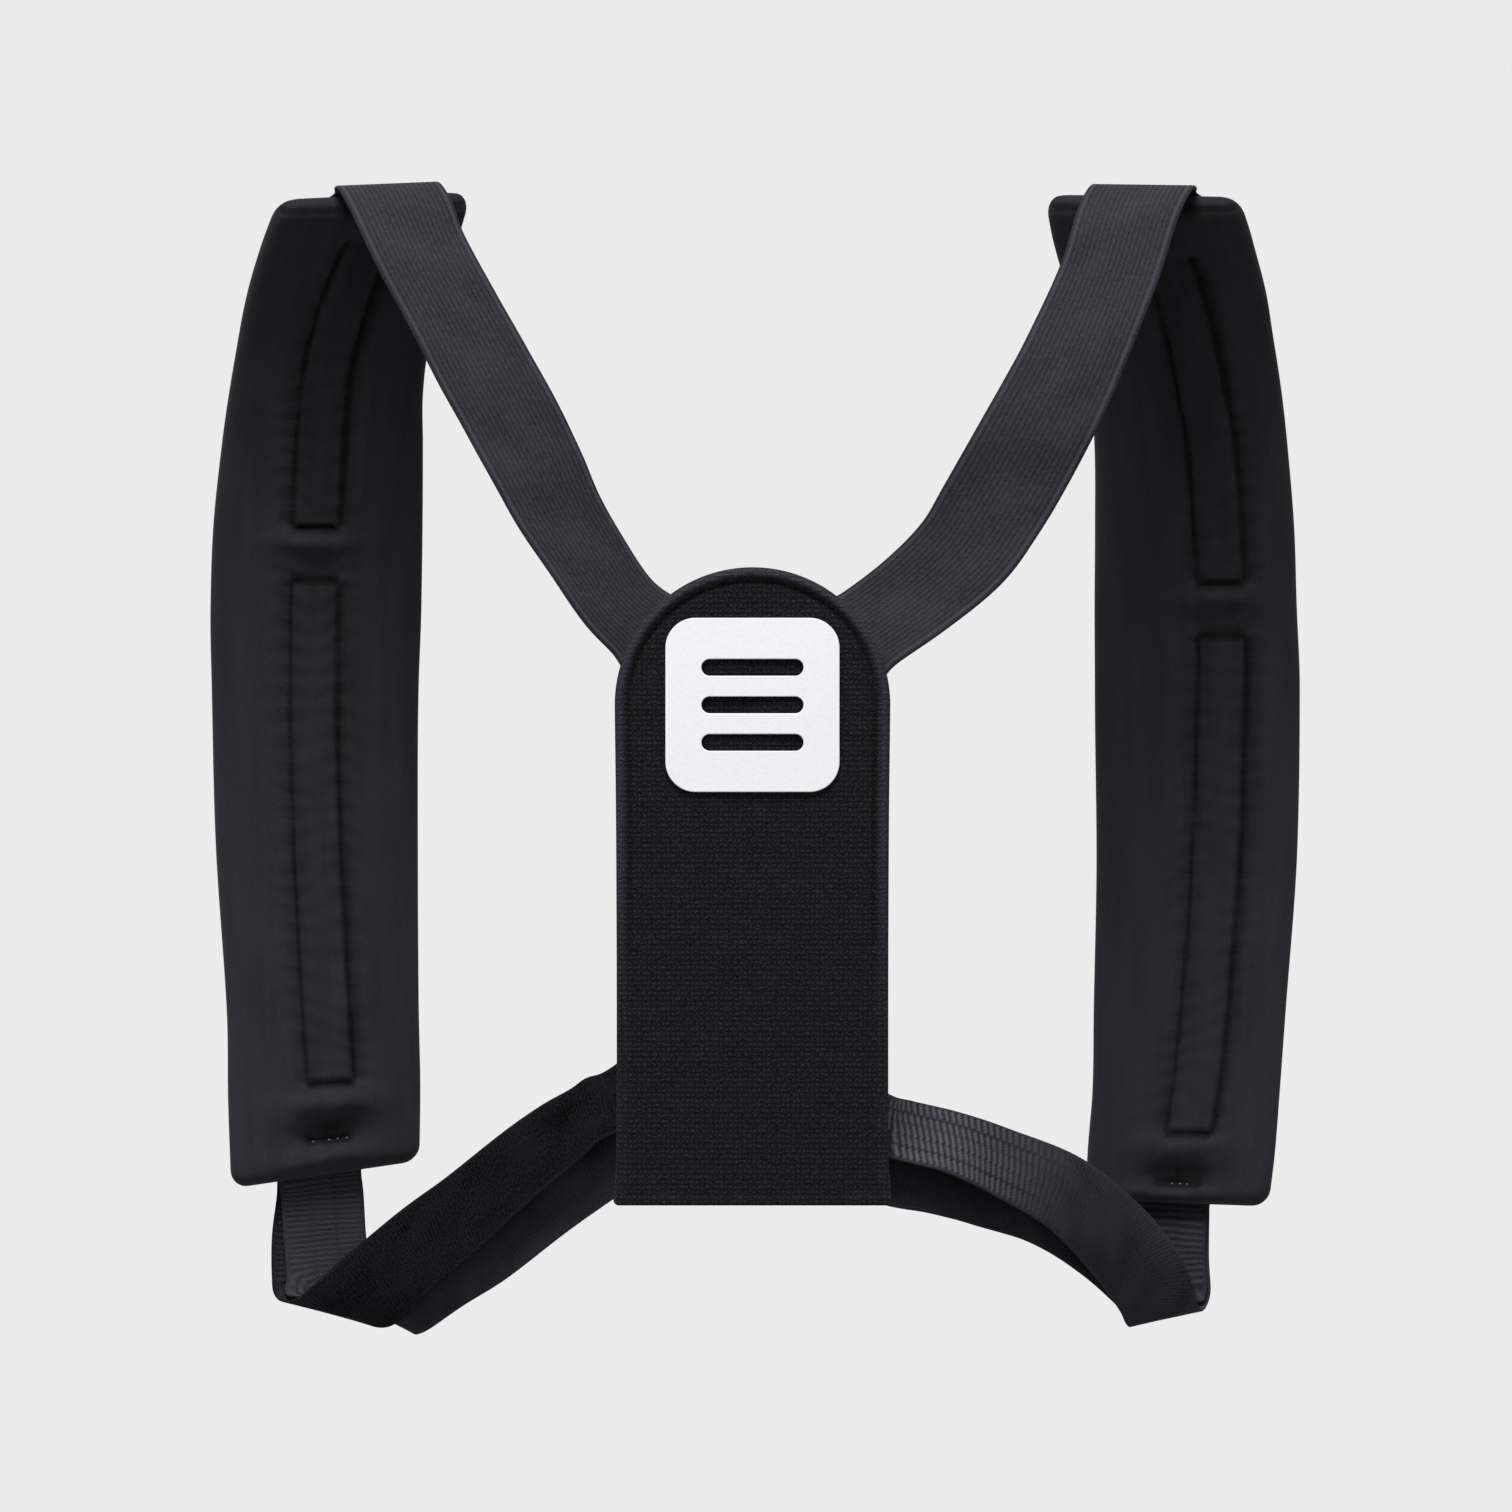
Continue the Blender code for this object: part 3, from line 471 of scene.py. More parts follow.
def closed_sheet(name, material, upper, lower, u, v, upper_tone_and_painted_light, lower_tone_and_painted_light, walls=(True, True)):
    """A closed shell from the grids of its two faces, which share their first and last columns. Its first
    and last rows get a wall between the faces, unless the faces meet there by themselves."""
    rows, columns = upper.shape[:2]
    upper_index = np.arange(rows * columns).reshape(rows, columns)
    lower_index = upper_index.copy()
    inner = columns - 2
    lower_index[:, 1:-1] = rows * columns + np.arange(rows * inner).reshape(rows, inner)
    faces = []
    for index in (upper_index, lower_index[:, ::-1]):
        quads = np.stack((index[:-1, :-1], index[:-1, 1:], index[1:, 1:], index[1:, :-1]), axis=-1)
        faces += quads.reshape(-1, 4).tolist()
    for row, walled in zip((0, -1), walls):
        if not walled:
            continue
        top, bottom = upper_index[row].tolist(), lower_index[row].tolist()
        faces.append([top[0], top[1], bottom[1]])
        faces.append([top[-2], top[-1], bottom[-2]])
        for i in range(1, columns - 2):
            faces.append([top[i], top[i + 1], bottom[i + 1], bottom[i]])

    def both(first, second):
        shape = (-1, *first.shape[2:])
        return np.concatenate((first.reshape(shape), second[:, 1:-1].reshape(shape)))

    tone_and_painted_light = both(upper_tone_and_painted_light, lower_tone_and_painted_light)
    return make_piece(name, both(upper, lower), faces, material, both(u, u), both(v, v), tone_and_painted_light)


def dense_path(stations, spacing):
    """Rows of centre, line across and width, evenly spaced on a smooth curve through the stations."""
    places = [0.0]
    for (before, _, _), (after, _, _) in zip(stations, stations[1:]):
        places.append(places[-1] + (after - before).length)
    rows = [(place, *centre, *across, width) for place, (centre, across, width) in zip(places, stations)]
    count = round(places[-1] / spacing)
    path = np.array([value_at(rows, places[-1] * i / count) for i in range(count + 1)])
    reach = max(round(3 * STRAP_SMOOTHING / spacing), 1)
    kernel = bell(np.arange(-reach, reach + 1) * spacing, STRAP_SMOOTHING * math.sqrt(2))
    kernel /= kernel.sum()
    start = 2 * path[0] - path[reach:0:-1]
    end = 2 * path[-1] - path[-2 : -reach - 2 : -1]
    padded = np.concatenate((start, path, end))
    smooth = [np.convolve(column, kernel, mode="valid") for column in padded.T]
    return np.stack(smooth, axis=1)


def unit(vectors):
    return vectors / np.linalg.norm(vectors, axis=-1, keepdims=True)


def cross_section(half, radius, turns, columns):
    """Places across a sheet with round edges, and how far its faces stand apart there, as a share."""
    edge = radius * np.sin(turns[1:])
    u = np.concatenate((-half - edge[::-1], half * np.linspace(-1, 1, columns), half + edge), axis=1)
    fall = np.concatenate((np.cos(turns[:0:-1]), np.ones(columns), np.cos(turns[1:])))
    fall[[0, -1]] = 0.0
    return u, fall


def band(name, stations, thickness, material, mesh, surface):
    """A strap with rounded edges. mesh is the spacing of its rows and the number of its columns;
    surface(u, v) gives the height of its raised weave and its shade, in which light and shade are partly
    painted."""
    spacing, columns = mesh
    path = dense_path(stations, spacing)
    centre, across, width = path[:, 0:3], unit(path[:, 3:6]), path[:, 6:7]
    along = unit(np.gradient(centre, axis=0))
    normal = np.cross(along, across)
    skew = np.linalg.norm(normal, axis=1, keepdims=True)
    normal /= skew
    radius = thickness / 2
    u, fall = cross_section(width / 2 - radius, radius, np.radians(EDGE_TURNS), columns)
    place = np.concatenate(([0.0], np.cumsum(np.linalg.norm(np.diff(centre, axis=0), axis=1))))[:, None]
    lean = (across * along).sum(axis=1, keepdims=True) / skew
    v = place + u * lean
    middle = centre[:, None] + across[:, None] * (u / skew)[..., None]
    height, shade = surface(u, v)
    lift = normal[:, None] * (fall * (radius + height))[..., None]
    return closed_sheet(name, material, middle + lift, middle - lift, u, v, shade, shade)


# Shoulder pads


def pad_frame(side, down):
    """A pad's centre, the vector to its inner edge, its normal to the front, and where its seam lies."""
    rows = PAD_ROWS[side]

    def centre_at(place):
        out, front = value_at(rows, place)[0:2]
        x = SIDES[side] * out * HALF_SPAN
        y = PAD_TOP_FRONT + front * PAD_REACH
        return Vector((x, y, -PAD_TOP_DROP - place * PAD_HEIGHT))

    width, turn, cant, seam = value_at(rows, down)[2:6]
    inward = Vector((-SIDES[side], math.tan(math.radians(turn)), cant)) * width * PAD_WIDTH / 2
    little = 0.01
    low, high = max(down - little, rows[0][0]), min(down + little, rows[-1][0])
    normal = (centre_at(high) - centre_at(low)).cross(inward).normalized()
    if normal.y < 0:
        normal.negate()
    return centre_at(down), inward, normal, seam


def on_pad(side, down, lift, shift=0.0):
    """Station for a strap on a pad's outer face, along its seam line."""
    centre, inward, normal, seam = pad_frame(side, down)
    outward = -inward.normalized()
    point = centre + outward * (seam * PAD_WIDTH + shift) + normal * lift
    return point, inward.normalized()


def sewn_groove(distance):
    """Depth share of a sewn line: steep towards its channel, where distance is below 0, soft outside."""
    return np.where(distance < 0, bell(distance, STITCH_DENT), bell(distance, PADDING_SLOPE))


def sewn_lines(side, down, offset):
    """Depth of the sewn lines on a pad's inner face and how dark they are: their stitching darkened with
    painted shade in the grooves, and painted shadows beside them, in the upper channel, in the valley
    above the bar tack and in its slot; offset is the distance inwards from the seam line."""
    start, stop, again, end, tack = PAD_SEAMS[side]
    run = down * PAD_HEIGHT
    half = CHANNEL_WIDTH / 2
    beside = np.abs(offset) - half
    between = 1 - ramp(beside, -STITCH_DENT, STITCH_DENT)
    pull = 1 + 0.18 * np.cos(2 * math.pi * run / STITCH_PITCH)
    uneven = 1 + 0.30 * ripple(0 * offset, run, 0.021, 31)
    rightwards = -SIDES[side] * offset
    depth = np.zeros(np.broadcast(down, offset).shape)
    dark = np.zeros(depth.shape)
    for first, last in ((start, stop), (again, end)):
        first, last = first * PAD_HEIGHT, last * PAD_HEIGHT
        inside = ramp(run, first - STITCH_DENT, first + STITCH_DENT)
        inside = inside * (1 - ramp(run, last - STITCH_DENT, last + STITCH_DENT))
        depth = np.maximum(depth, CHANNEL_DEPTH * sewn_groove(beside) * inside * pull)
        depth = np.maximum(depth, 0.30 * CHANNEL_DEPTH * between * inside)
        # Stitch lines painted dark: partly their thread and holes, partly painted shade in their grooves;
        # the line towards +X is painted wider, as the side turned from the light
        line = STITCH_LINE * (1 + 0.35 * (rightwards > 0)) * uneven
        dark = np.maximum(dark, 0.9 * bell(beside, line) * inside)
        # Painted shade inside the upper channel
        dark = np.maximum(dark, 0.16 * between * inside * (1 - ramp(down, 0.3, 0.5)))
        # Painted shadows that fall off towards +X from each line of the channels
        for edge, strength in ((-half, 0.30), (half, 0.50)):
            past = rightwards - edge
            shadow = np.where(past > 0, bell(past, 4.5 * STITCH_LINE), bell(past, STITCH_LINE))
            dark = np.maximum(dark, strength * shadow * inside)
    # Dark lines across the channels' ends: their stitching and painted shade in their grooves
    for place, way in ((stop, 1), (again, -1), (end, 1)):
        past = (run - place * PAD_HEIGHT) * way
        depth = np.maximum(depth, CHANNEL_DEPTH * sewn_groove(past) * between)
        dark = np.maximum(dark, bell(past, 2.0 * STITCH_LINE) * between)
    past_tack = run - tack * PAD_HEIGHT
    slot = bell(past_tack, STITCH_DENT) * between
    # Painted shade in the valley above the bar tack
    painted_valley_shade = 0.85 * bell(past_tack + VALLEY_RISE, VALLEY_LENGTH) * bell(offset, VALLEY_WIDTH)
    dark = np.maximum(dark, painted_valley_shade)
    hem = bell(run - HEM_DEPTH, STITCH_LINE)
    depth = np.maximum(depth, TACK_DEPTH * slot)
    depth = np.maximum(depth, 0.35 * CHANNEL_DEPTH * hem)
    # The tack's slot is painted dark as shade in its recess; the hem's seam line is painted dark, partly
    # its stitching and partly shade in its groove
    return depth, np.clip(np.maximum(dark, slot) + 0.7 * hem, 0, 1)


def pad_swell(side, down, offset):
    """Soft swelling of a pad beside its sewn lines, and the dents and bulges where they start and end."""
    run = down * PAD_HEIGHT
    beside = np.abs(offset) - CHANNEL_WIDTH / 2
    swell = PAD_CROWN * (1 - 0.6 * bell(offset, CHANNEL_WIDTH * 0.8))
    for seam, height, place, length, inwards, width in PAD_SWELLS:
        past = run - PAD_SEAMS[side][seam] * PAD_HEIGHT
        swell = swell + height * bell(past - place, length) * bell(offset - inwards, width)
    gather = np.cos(2 * math.pi * run / PUCKER_PITCH + 2.5 * ripple(offset, run, 0.03, 17))
    return swell + PUCKER_RISE * gather * bell(beside, PUCKER_REACH)


def shoulder_pad(side, material):
    """A padded strip with round edges, sewn and swollen on its rear face."""
    last = PAD_ROWS[side][-1][0]
    length = last * PAD_HEIGHT
    radius = PAD_THICKNESS / 2
    turns = np.radians(np.linspace(0, 90, 8))
    ends = radius * (1 - np.cos(turns))
    count = round((length - 2 * radius) / PAD_SPACING)
    between = np.linspace(radius, length - radius, count)[1:-1]
    runs = np.concatenate((ends, between, (length - ends)[::-1]))
    frames = [pad_frame(side, run / PAD_HEIGHT) for run in runs]
    centre, inward, normal, seam = (np.array(values) for values in zip(*frames))
    seam = seam[:, None]
    full = np.linalg.norm(inward, axis=1, keepdims=True)
    inward = inward / full
    from_end = np.minimum(runs, length - runs)[:, None]
    corner = np.clip(PAD_CORNER - from_end, 0, PAD_CORNER)
    full = full - (PAD_CORNER - np.sqrt(PAD_CORNER**2 - corner**2))
    end_share = np.sqrt(np.clip(1 - (np.clip(radius - from_end, 0, radius) / radius) ** 2, 0.004, 1))
    u, fall = cross_section(full - radius, radius, turns, round(PAD_WIDTH / PAD_SPACING))
    down = (runs / PAD_HEIGHT)[:, None]
    v = np.broadcast_to(runs[:, None], u.shape)
    offset = u + seam * PAD_WIDTH
    middle = centre[:, None] + inward[:, None] * u[..., None]
    wave = PAD_WAVE * ripple(u, v, PAD_WAVE_SIZE, 3 + SIDES[side])
    dent, dark = sewn_lines(side, down, offset)
    crown = 1 - (u / full) ** 4
    inner = radius + (pad_swell(side, down, offset) + wave) * crown - dent
    outer = radius + np.minimum(wave, 0) - EDGE_THINNING * (u / full) ** 4
    front = middle + normal[:, None] * (fall * end_share * outer)[..., None]
    back = middle - normal[:, None] * (fall * end_share * inner)[..., None]
    # Painted light: darker at the top and lighter downwards, and lighter towards -X on both pads
    light = np.full(u.shape, PAD_LIGHT) + PAD_PAINTED_LIGHT_BELOW * ramp(down, 0.15, 0.85)
    light = light + PAD_PAINTED_LIGHT_TOWARDS_LEFT * np.tanh(SIDES[side] * offset / CHANNEL_WIDTH)
    # The sewn lines' darkness and a painted shade in the dents
    shade = light - 0.72 * dark - 0.10 * np.clip(dent / CHANNEL_DEPTH, 0, 1)
    pad = closed_sheet(f"{side}_pad", material, back, front, u, v, shade, light)
    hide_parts(f"{side}_shoulder_pad")


def tack_stitches(side, material):
    """The thread of a pad's bar tack, in short stitches that stand on the bottom of its slot."""
    tack = PAD_SEAMS[side][4]
    centre, inward, normal, seam = pad_frame(side, tack)
    across = inward.normalized()
    along = across.cross(normal).normalized()
    lift = PAD_THICKNESS / 2 - TACK_DEPTH + THREAD_WIDTH
    mesh = bmesh.new()
    for place, length in TACK_STITCHES[side]:
        offset = (place - 0.5) * CHANNEL_WIDTH - seam * PAD_WIDTH
        middle = centre + across * offset - normal * lift
        ball = bmesh.ops.create_icosphere(mesh, subdivisions=2, radius=THREAD_WIDTH)["verts"]
        turn = Matrix((across, along, normal)).transposed()
        for vert in ball:
            vert.co = middle + turn @ Vector((vert.co.x * length, vert.co.y, vert.co.z))
    data = bpy.data.meshes.new(f"{side}_tack")
    mesh.to_mesh(data)
    mesh.free()
    data.shade_smooth()
    data.materials.append(material)
    thread = add_object(f"{side}_tack", data)
    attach(thread, "root")


# Back panel, inner leaf and patch


def panel_half_width(z):
    """The panel's half width at a height on its straight part, with rounded corners at its foot."""
    share = (z - PANEL_FOOT) / (PANEL_MIDDLE - PANEL_FOOT)
    from_corner = max(PANEL_CORNER - (z - PANEL_FOOT), 0.0)
    cut = PANEL_CORNER - math.sqrt(PANEL_CORNER**2 - from_corner**2)
    return value_at(PANEL_FLARE, share)[0] * PANEL_WIDTH / 2 - cut


def panel_grid(insets):
    """Points of the panel's face as rows from its foot to its top, and their distances from its edge."""
    insets = np.array(insets)
    share = np.linspace(1, -1, PANEL_COLUMNS)[1:-1]
    rows, distances = [], []
    straight = np.linspace(PANEL_FOOT + insets[-1], PANEL_MIDDLE, PANEL_ROWS)[:-1]
    for z in np.concatenate((PANEL_FOOT + insets[:-1], straight)):
        half = panel_half_width(z)
        right = half - insets
        x = np.concatenate((right, share * right[-1], -right[::-1]))
        rows.append(np.stack((x, np.full(x.shape, z)), axis=1))
        distances.append(np.minimum(half - np.abs(x), z - PANEL_FOOT))
    radius = PANEL_WIDTH / 2
    arm = radius - insets
    beside = np.concatenate((arm, share * arm[-1], -arm[::-1]))
    above = np.concatenate((arm, np.full(share.shape, arm[-1]), arm[::-1]))
    for angle in np.radians(np.linspace(0, 90, PANEL_ARC_ROWS)):
        x, level = beside * math.cos(angle), above * math.sin(angle)
        rows.append(np.stack((x, PANEL_MIDDLE + level), axis=1))
        distances.append(radius - np.hypot(x, level))
    return np.array(rows), np.array(distances)


def back_panel(material):
    """A knit leaf with a rolled rim round its upper part and smooth selvedges below."""
    half = PANEL_THICKNESS / 2
    middle = -PANEL_SETBACK + half
    insets = [half * (1 - math.cos(math.radians(a))) for a in (0, 18, 36, 54, 72, 90)]
    insets += list(np.arange(0.0019, 0.0062, 0.00035)) + [0.0068, 0.0078, 0.0090, 0.0105]
    sheet, distance = panel_grid(insets)
    x, z = sheet[..., 0], sheet[..., 1]
    upper_part = ramp((z - PANEL_FOOT) / PANEL_HEIGHT, 0.25, 0.62)
    rim = np.sin(math.pi * np.clip(distance / RIM_WIDTH, 0, 1)) * RIM_RISE
    groove = bell(distance - RIM_WIDTH - 0.4 * GROOVE_WIDTH, GROOVE_WIDTH)
    wave = PANEL_WAVE * ripple(x, z, PANEL_WAVE_SIZE, 5) * ramp(distance, 0.002, 0.012)
    rounding = np.sqrt(np.clip(1 - (1 - np.clip(distance / half, 0, 1)) ** 2, 0, 1))
    outer = rounding * (half + (rim - 0.8 * RIM_RISE * groove) * upper_part + wave)
    outer_points = np.stack((x, middle - outer, z), axis=-1)
    inner_points = np.stack((x, middle + rounding * half, z), axis=-1)
    selvedge = (1 - ramp(distance, 0.0032, 0.0044)) * (1 - upper_part)
    # Painted highlight on the rim's band and crest, painted shade in the groove inside the rim
    rim_highlight_mask = (1 - ramp(distance, RIM_WIDTH, RIM_WIDTH + GROOVE_WIDTH)) * upper_part
    crest = bell(distance - 0.4 * RIM_WIDTH, 0.3 * RIM_WIDTH) * upper_part
    shade = KNIT_SHADE + SELVEDGE_SHADE * selvedge + (RIM_PAINTED_HIGHLIGHT * rim_highlight_mask + CREST_PAINTED_HIGHLIGHT * crest)
    shade = shade + GROOVE_PAINTED_SHADE * groove * upper_part
    plain = np.full(shade.shape, KNIT_SHADE)
    walls = (False, False)
    panel = closed_sheet("panel", material, outer_points, inner_points, x, z, shade, plain, walls)
    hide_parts("back_panel")


def layer_depth(layer, thickness):
    """Y of the middle of a layer held in the panel, counted from the panel's inner face."""
    below = layer * (WEBBING_THICKNESS + CLEARANCE)
    return PANEL_INNER_FACE + CLEARANCE + below + thickness / 2


def inner_leaf(material):
    """A narrower leaf over the side straps' ends, its foot folded back to the panel."""
    radius = INNER_LEAF_WIDTH / 2
    depth = layer_depth(2, INNER_LEAF_THICKNESS)
    bend = depth - (PANEL_INNER_FACE + CLEARANCE)
    foot = PANEL_FOOT + INNER_LEAF_THICKNESS / 2
    stations = []
    for step in range(5):
        angle = math.radians(90 * step / 4)
        y = depth - bend * (1 - math.sin(angle))
        z = foot + bend * (1 - math.cos(angle))
        stations.append((Vector((0, y, z)), Vector((1, 0, 0)), INNER_LEAF_WIDTH))
    for share in (0.15, 0.4, 0.7, 1.0):
        z = foot + bend + share * (PANEL_MIDDLE - foot - bend)
        stations.append((Vector((0, depth, z)), Vector((1, 0, 0)), INNER_LEAF_WIDTH))
    for degrees in (15, 30, 45, 58, 70, 80):
        angle = math.radians(degrees)
        centre = Vector((0, depth, PANEL_MIDDLE + radius * math.sin(angle)))
        stations.append((centre, Vector((1, 0, 0)), INNER_LEAF_WIDTH * math.cos(angle)))

    def plain_surface(u, v):
        return np.zeros(u.shape), np.full(u.shape, KNIT_SHADE)

    mesh = (ELASTIC_SPACING, LEAF_COLUMNS)
    leaf = band("leaf", stations, INNER_LEAF_THICKNESS, material, mesh, plain_surface)
    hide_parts("inner_leaf")


def rounded_outline(width, height, corner, steps):
    """Corners of a rounded rectangle about its centre."""
    points = []
    for quarter, (x, z) in enumerate(((1, 1), (-1, 1), (-1, -1), (1, -1))):
        for step in range(steps + 1):
            angle = math.radians(90 * (quarter + step / steps))
            centre_x, centre_z = x * (width / 2 - corner), z * (height / 2 - corner)
            points.append((centre_x + corner * math.cos(angle), centre_z + corner * math.sin(angle)))
    return points


def emblem_patch(material):
    """A plain rounded square with slots cut through and softened edges."""
    mesh = bmesh.new()
    back = -PANEL_SETBACK - CLEARANCE
    height = -PANEL_DROP - PATCH_DROP
    outlines = [(0.0, rounded_outline(PATCH_SIZE, PATCH_SIZE, PATCH_CORNER, 16))]
    for i in range(SLOT_COUNT):
        rise = (i - (SLOT_COUNT - 1) / 2) * SLOT_PITCH
        outlines.append((rise, rounded_outline(SLOT_LENGTH, SLOT_WIDTH, SLOT_WIDTH * 0.499, 10)))
    edges = []
    for rise, outline in outlines:
        loop = [mesh.verts.new((x, back, height + rise + z)) for x, z in outline]
        for a, b in zip(loop, loop[1:] + loop[:1]):
            edges.append(mesh.edges.new((a, b)))
    bmesh.ops.triangle_fill(mesh, edges=edges, use_beauty=True)
    made = bmesh.ops.extrude_face_region(mesh, geom=list(mesh.faces))
    moved = [v for v in made["geom"] if isinstance(v, bmesh.types.BMVert)]
    bmesh.ops.translate(mesh, verts=moved, vec=(0, -PATCH_THICKNESS, 0))
    bmesh.ops.recalc_face_normals(mesh, faces=mesh.faces)
    front = back - PATCH_THICKNESS
    rims = []
    for edge in mesh.edges:
        at_front = all(abs(v.co.y - front) < CLEARANCE / 10 for v in edge.verts)
        if at_front and edge.calc_face_angle(0) > 1:
            rims.append(edge)
    bmesh.ops.bevel(mesh, geom=rims, offset=PATCH_BEVEL, segments=3, affect="EDGES", profile=0.5)
    for face in mesh.faces:
        face.smooth = abs(face.normal.y) < math.cos(math.radians(1))
    data = bpy.data.meshes.new("emblem")
    mesh.to_mesh(data)
    mesh.free()
    data.materials.append(material)
    patch = add_object("emblem", data)
    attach(patch, "root")
    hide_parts("emblem_patch")


# Straps


def line_across(side, tilt, roll):
    """Unit vector across a strap, from its outer end to its inner one."""
    tilt, roll = math.radians(tilt), math.radians(roll)
    inward = -SIDES[side] * math.cos(tilt) * math.cos(roll)
    return Vector((inward, math.sin(roll), math.sin(tilt) * math.cos(roll)))


def towards(start, end, shares):
    """A point at its own share of the way along each axis."""
    return Vector([a + (b - a) * share for a, b, share in zip(start, end, shares)])


def rolled_depth(thickness, width, roll):
    """How far back a strap's middle lies in the panel so that, rolled, its near edge keeps its layer."""
    lean = abs(math.sin(math.radians(roll)))
    return layer_depth(0, thickness) + ROLL_ROOM * width / 2 * lean


def shoulder_route(side):
    """Stations of a shoulder strap: sewn to the pad's outer face, over its upper end, into the panel."""
    sign = SIDES[side]
    seam_end = PAD_SEAMS[side][1]
    lift = PAD_THICKNESS / 2 + CLEARANCE + STRAP_THICKNESS / 2
    stations = []
    for share in (1.0, 0.87, 0.74, 0.60, 0.46, 0.32, 0.2, 0.1, 0.035):
        point, across = on_pad(side, seam_end * share, lift)
        stations.append((point, across, STRAP_WIDTH))
    top, across = on_pad(side, 0.0, 0.0)
    crest = Vector((top.x, PAD_TOP_FRONT - 0.4 * PAD_THICKNESS, top.z + CREST_RISE))
    lean = Vector((-sign * 0.2 * CREST_RISE, 0, 0))
    shoulder = Vector((top.x, PAD_TOP_FRONT + lift * 0.75, top.z + 0.55 * CREST_RISE)) - lean
    stations += [(shoulder, across, STRAP_WIDTH), (crest, across, STRAP_WIDTH)]
    degrees, tilt, roll = SHOULDER_MOUTHS[side]
    angle = math.radians(degrees)
    arm = Vector((sign * math.cos(angle), 0, math.sin(angle)))
    middle = Vector((0, 0, PANEL_MIDDLE))
    mouth = middle + arm * PANEL_WIDTH / 2
    mouth.y = rolled_depth(STRAP_THICKNESS, STRAP_WIDTH, roll)
    for inward, back, down, row_tilt, row_roll in SHOULDER_RUNS[side]:
        point = towards(crest, mouth, (inward, back, down))
        stations.append((point, line_across(side, row_tilt, row_roll), STRAP_WIDTH))
    stations.append((mouth, line_across(side, tilt, roll), STRAP_WIDTH))
    for place, left in ((0.80, 0.55), (0.62, 0.0), (0.42, 0.0)):
        point = middle + arm * place * PANEL_WIDTH / 2
        point.y = rolled_depth(STRAP_THICKNESS, STRAP_WIDTH, roll * left)
        stations.append((point, line_across(side, tilt, roll * left), STRAP_WIDTH))
    return stations


def gathered_width(place):
    """Width of the webbing at a place along its route: a little less round the fold."""
    return WEBBING_WIDTH * (1 - FOLD_GATHER * max(0, 1 - abs(place - 1) / FOLD_REACH))


def side_path(side):
    """Rows of (place, centre, line across) for the outer layer of a side strap: sewn to the pad's outer
    face, down past its end, round a fold and up into the panel. Places are those of SIDE_LAYERS."""
    sign = SIDES[side]
    seam_start = PAD_SEAMS[side][2]
    last = PAD_ROWS[side][-1][0]
    lift = PAD_THICKNESS / 2 + WEBBING_THICKNESS * 1.5 + CLEARANCE * 2
    path = []
    on_pad_steps = 8
    for step in range(on_pad_steps + 1):
        share = step / on_pad_steps
        down = seam_start + (last - seam_start) * share
        shift = share**2 * SIDE_HANGS[side][0][1] * WEBBING_WIDTH
        path.append((0.0, *on_pad(side, down, lift, shift)))
    exit_point, across = on_pad(side, last, lift)
    span = exit_point.y + PANEL_SETBACK
    turn = math.degrees(math.asin(across.y))
    out, back, drop, tilt, roll = SIDE_FOLDS[side]
    for down, shift, step_back, row_tilt in SIDE_HANGS[side]:
        move = Vector((sign * shift * WEBBING_WIDTH, -step_back * span, -down * LOOP_DROP))
        path.append((down / drop, exit_point + move, line_across(side, row_tilt, turn)))
    fold = Vector((sign * out * HALF_SPAN, exit_point.y - back * span, exit_point.z - drop * LOOP_DROP))
    path.append((1.0, fold, line_across(side, tilt, roll)))
    depth, rise, tilt, roll = SIDE_MOUTHS[side]
    mouth = Vector((sign * PANEL_WIDTH / 2, 0, -PANEL_DROP - depth * PANEL_HEIGHT))
    mouth.y = rolled_depth(WEBBING_THICKNESS, WEBBING_WIDTH, roll)
    for out, front, down, row_tilt, row_roll in reversed(SIDE_RUNS[side]):
        point = towards(mouth, fold, (out, front, down))
        path.append((2 - out, point, line_across(side, row_tilt, row_roll)))
    path.append((2.0, mouth, line_across(side, tilt, roll)))
    for place, left in HIDDEN_ROLLS:
        x = sign * place * PANEL_WIDTH / 2
        z = mouth.z + rise * (1 - place) * PANEL_WIDTH / 2
        y = rolled_depth(WEBBING_THICKNESS, WEBBING_WIDTH, roll * left)
        path.append((3 - place, Vector((x, y, z)), line_across(side, tilt, roll * left)))
    return path


def inner_side_path(side):
    """Rows as side_path gives, for the layer that follows the outer one on the inside of its fold."""
    path = side_path(side)
    rows = []
    for i, (place, centre, across) in enumerate(path):
        before, after = path[max(i - 1, 0)][1], path[min(i + 1, len(path) - 1)][1]
        along = (after - before).normalized()
        shift, gap, turn, share = value_at(SIDE_LAYERS[side], place)
        inside = across.cross(along).normalized() * SIDES[side]
        tilt = math.degrees(math.atan2(across.z, -SIDES[side] * across.x)) + turn
        roll = math.degrees(math.asin(across.y)) * share
        own_across = line_across(side, tilt, roll)
        edge = centre + inside * gap * (WEBBING_THICKNESS + CLEARANCE)
        edge += across * (shift - 0.5) * WEBBING_WIDTH / along.cross(across).length
        own_centre = edge + own_across * 0.5 * WEBBING_WIDTH / along.cross(own_across).length
        rows.append((place, own_centre, own_across))
    return rows


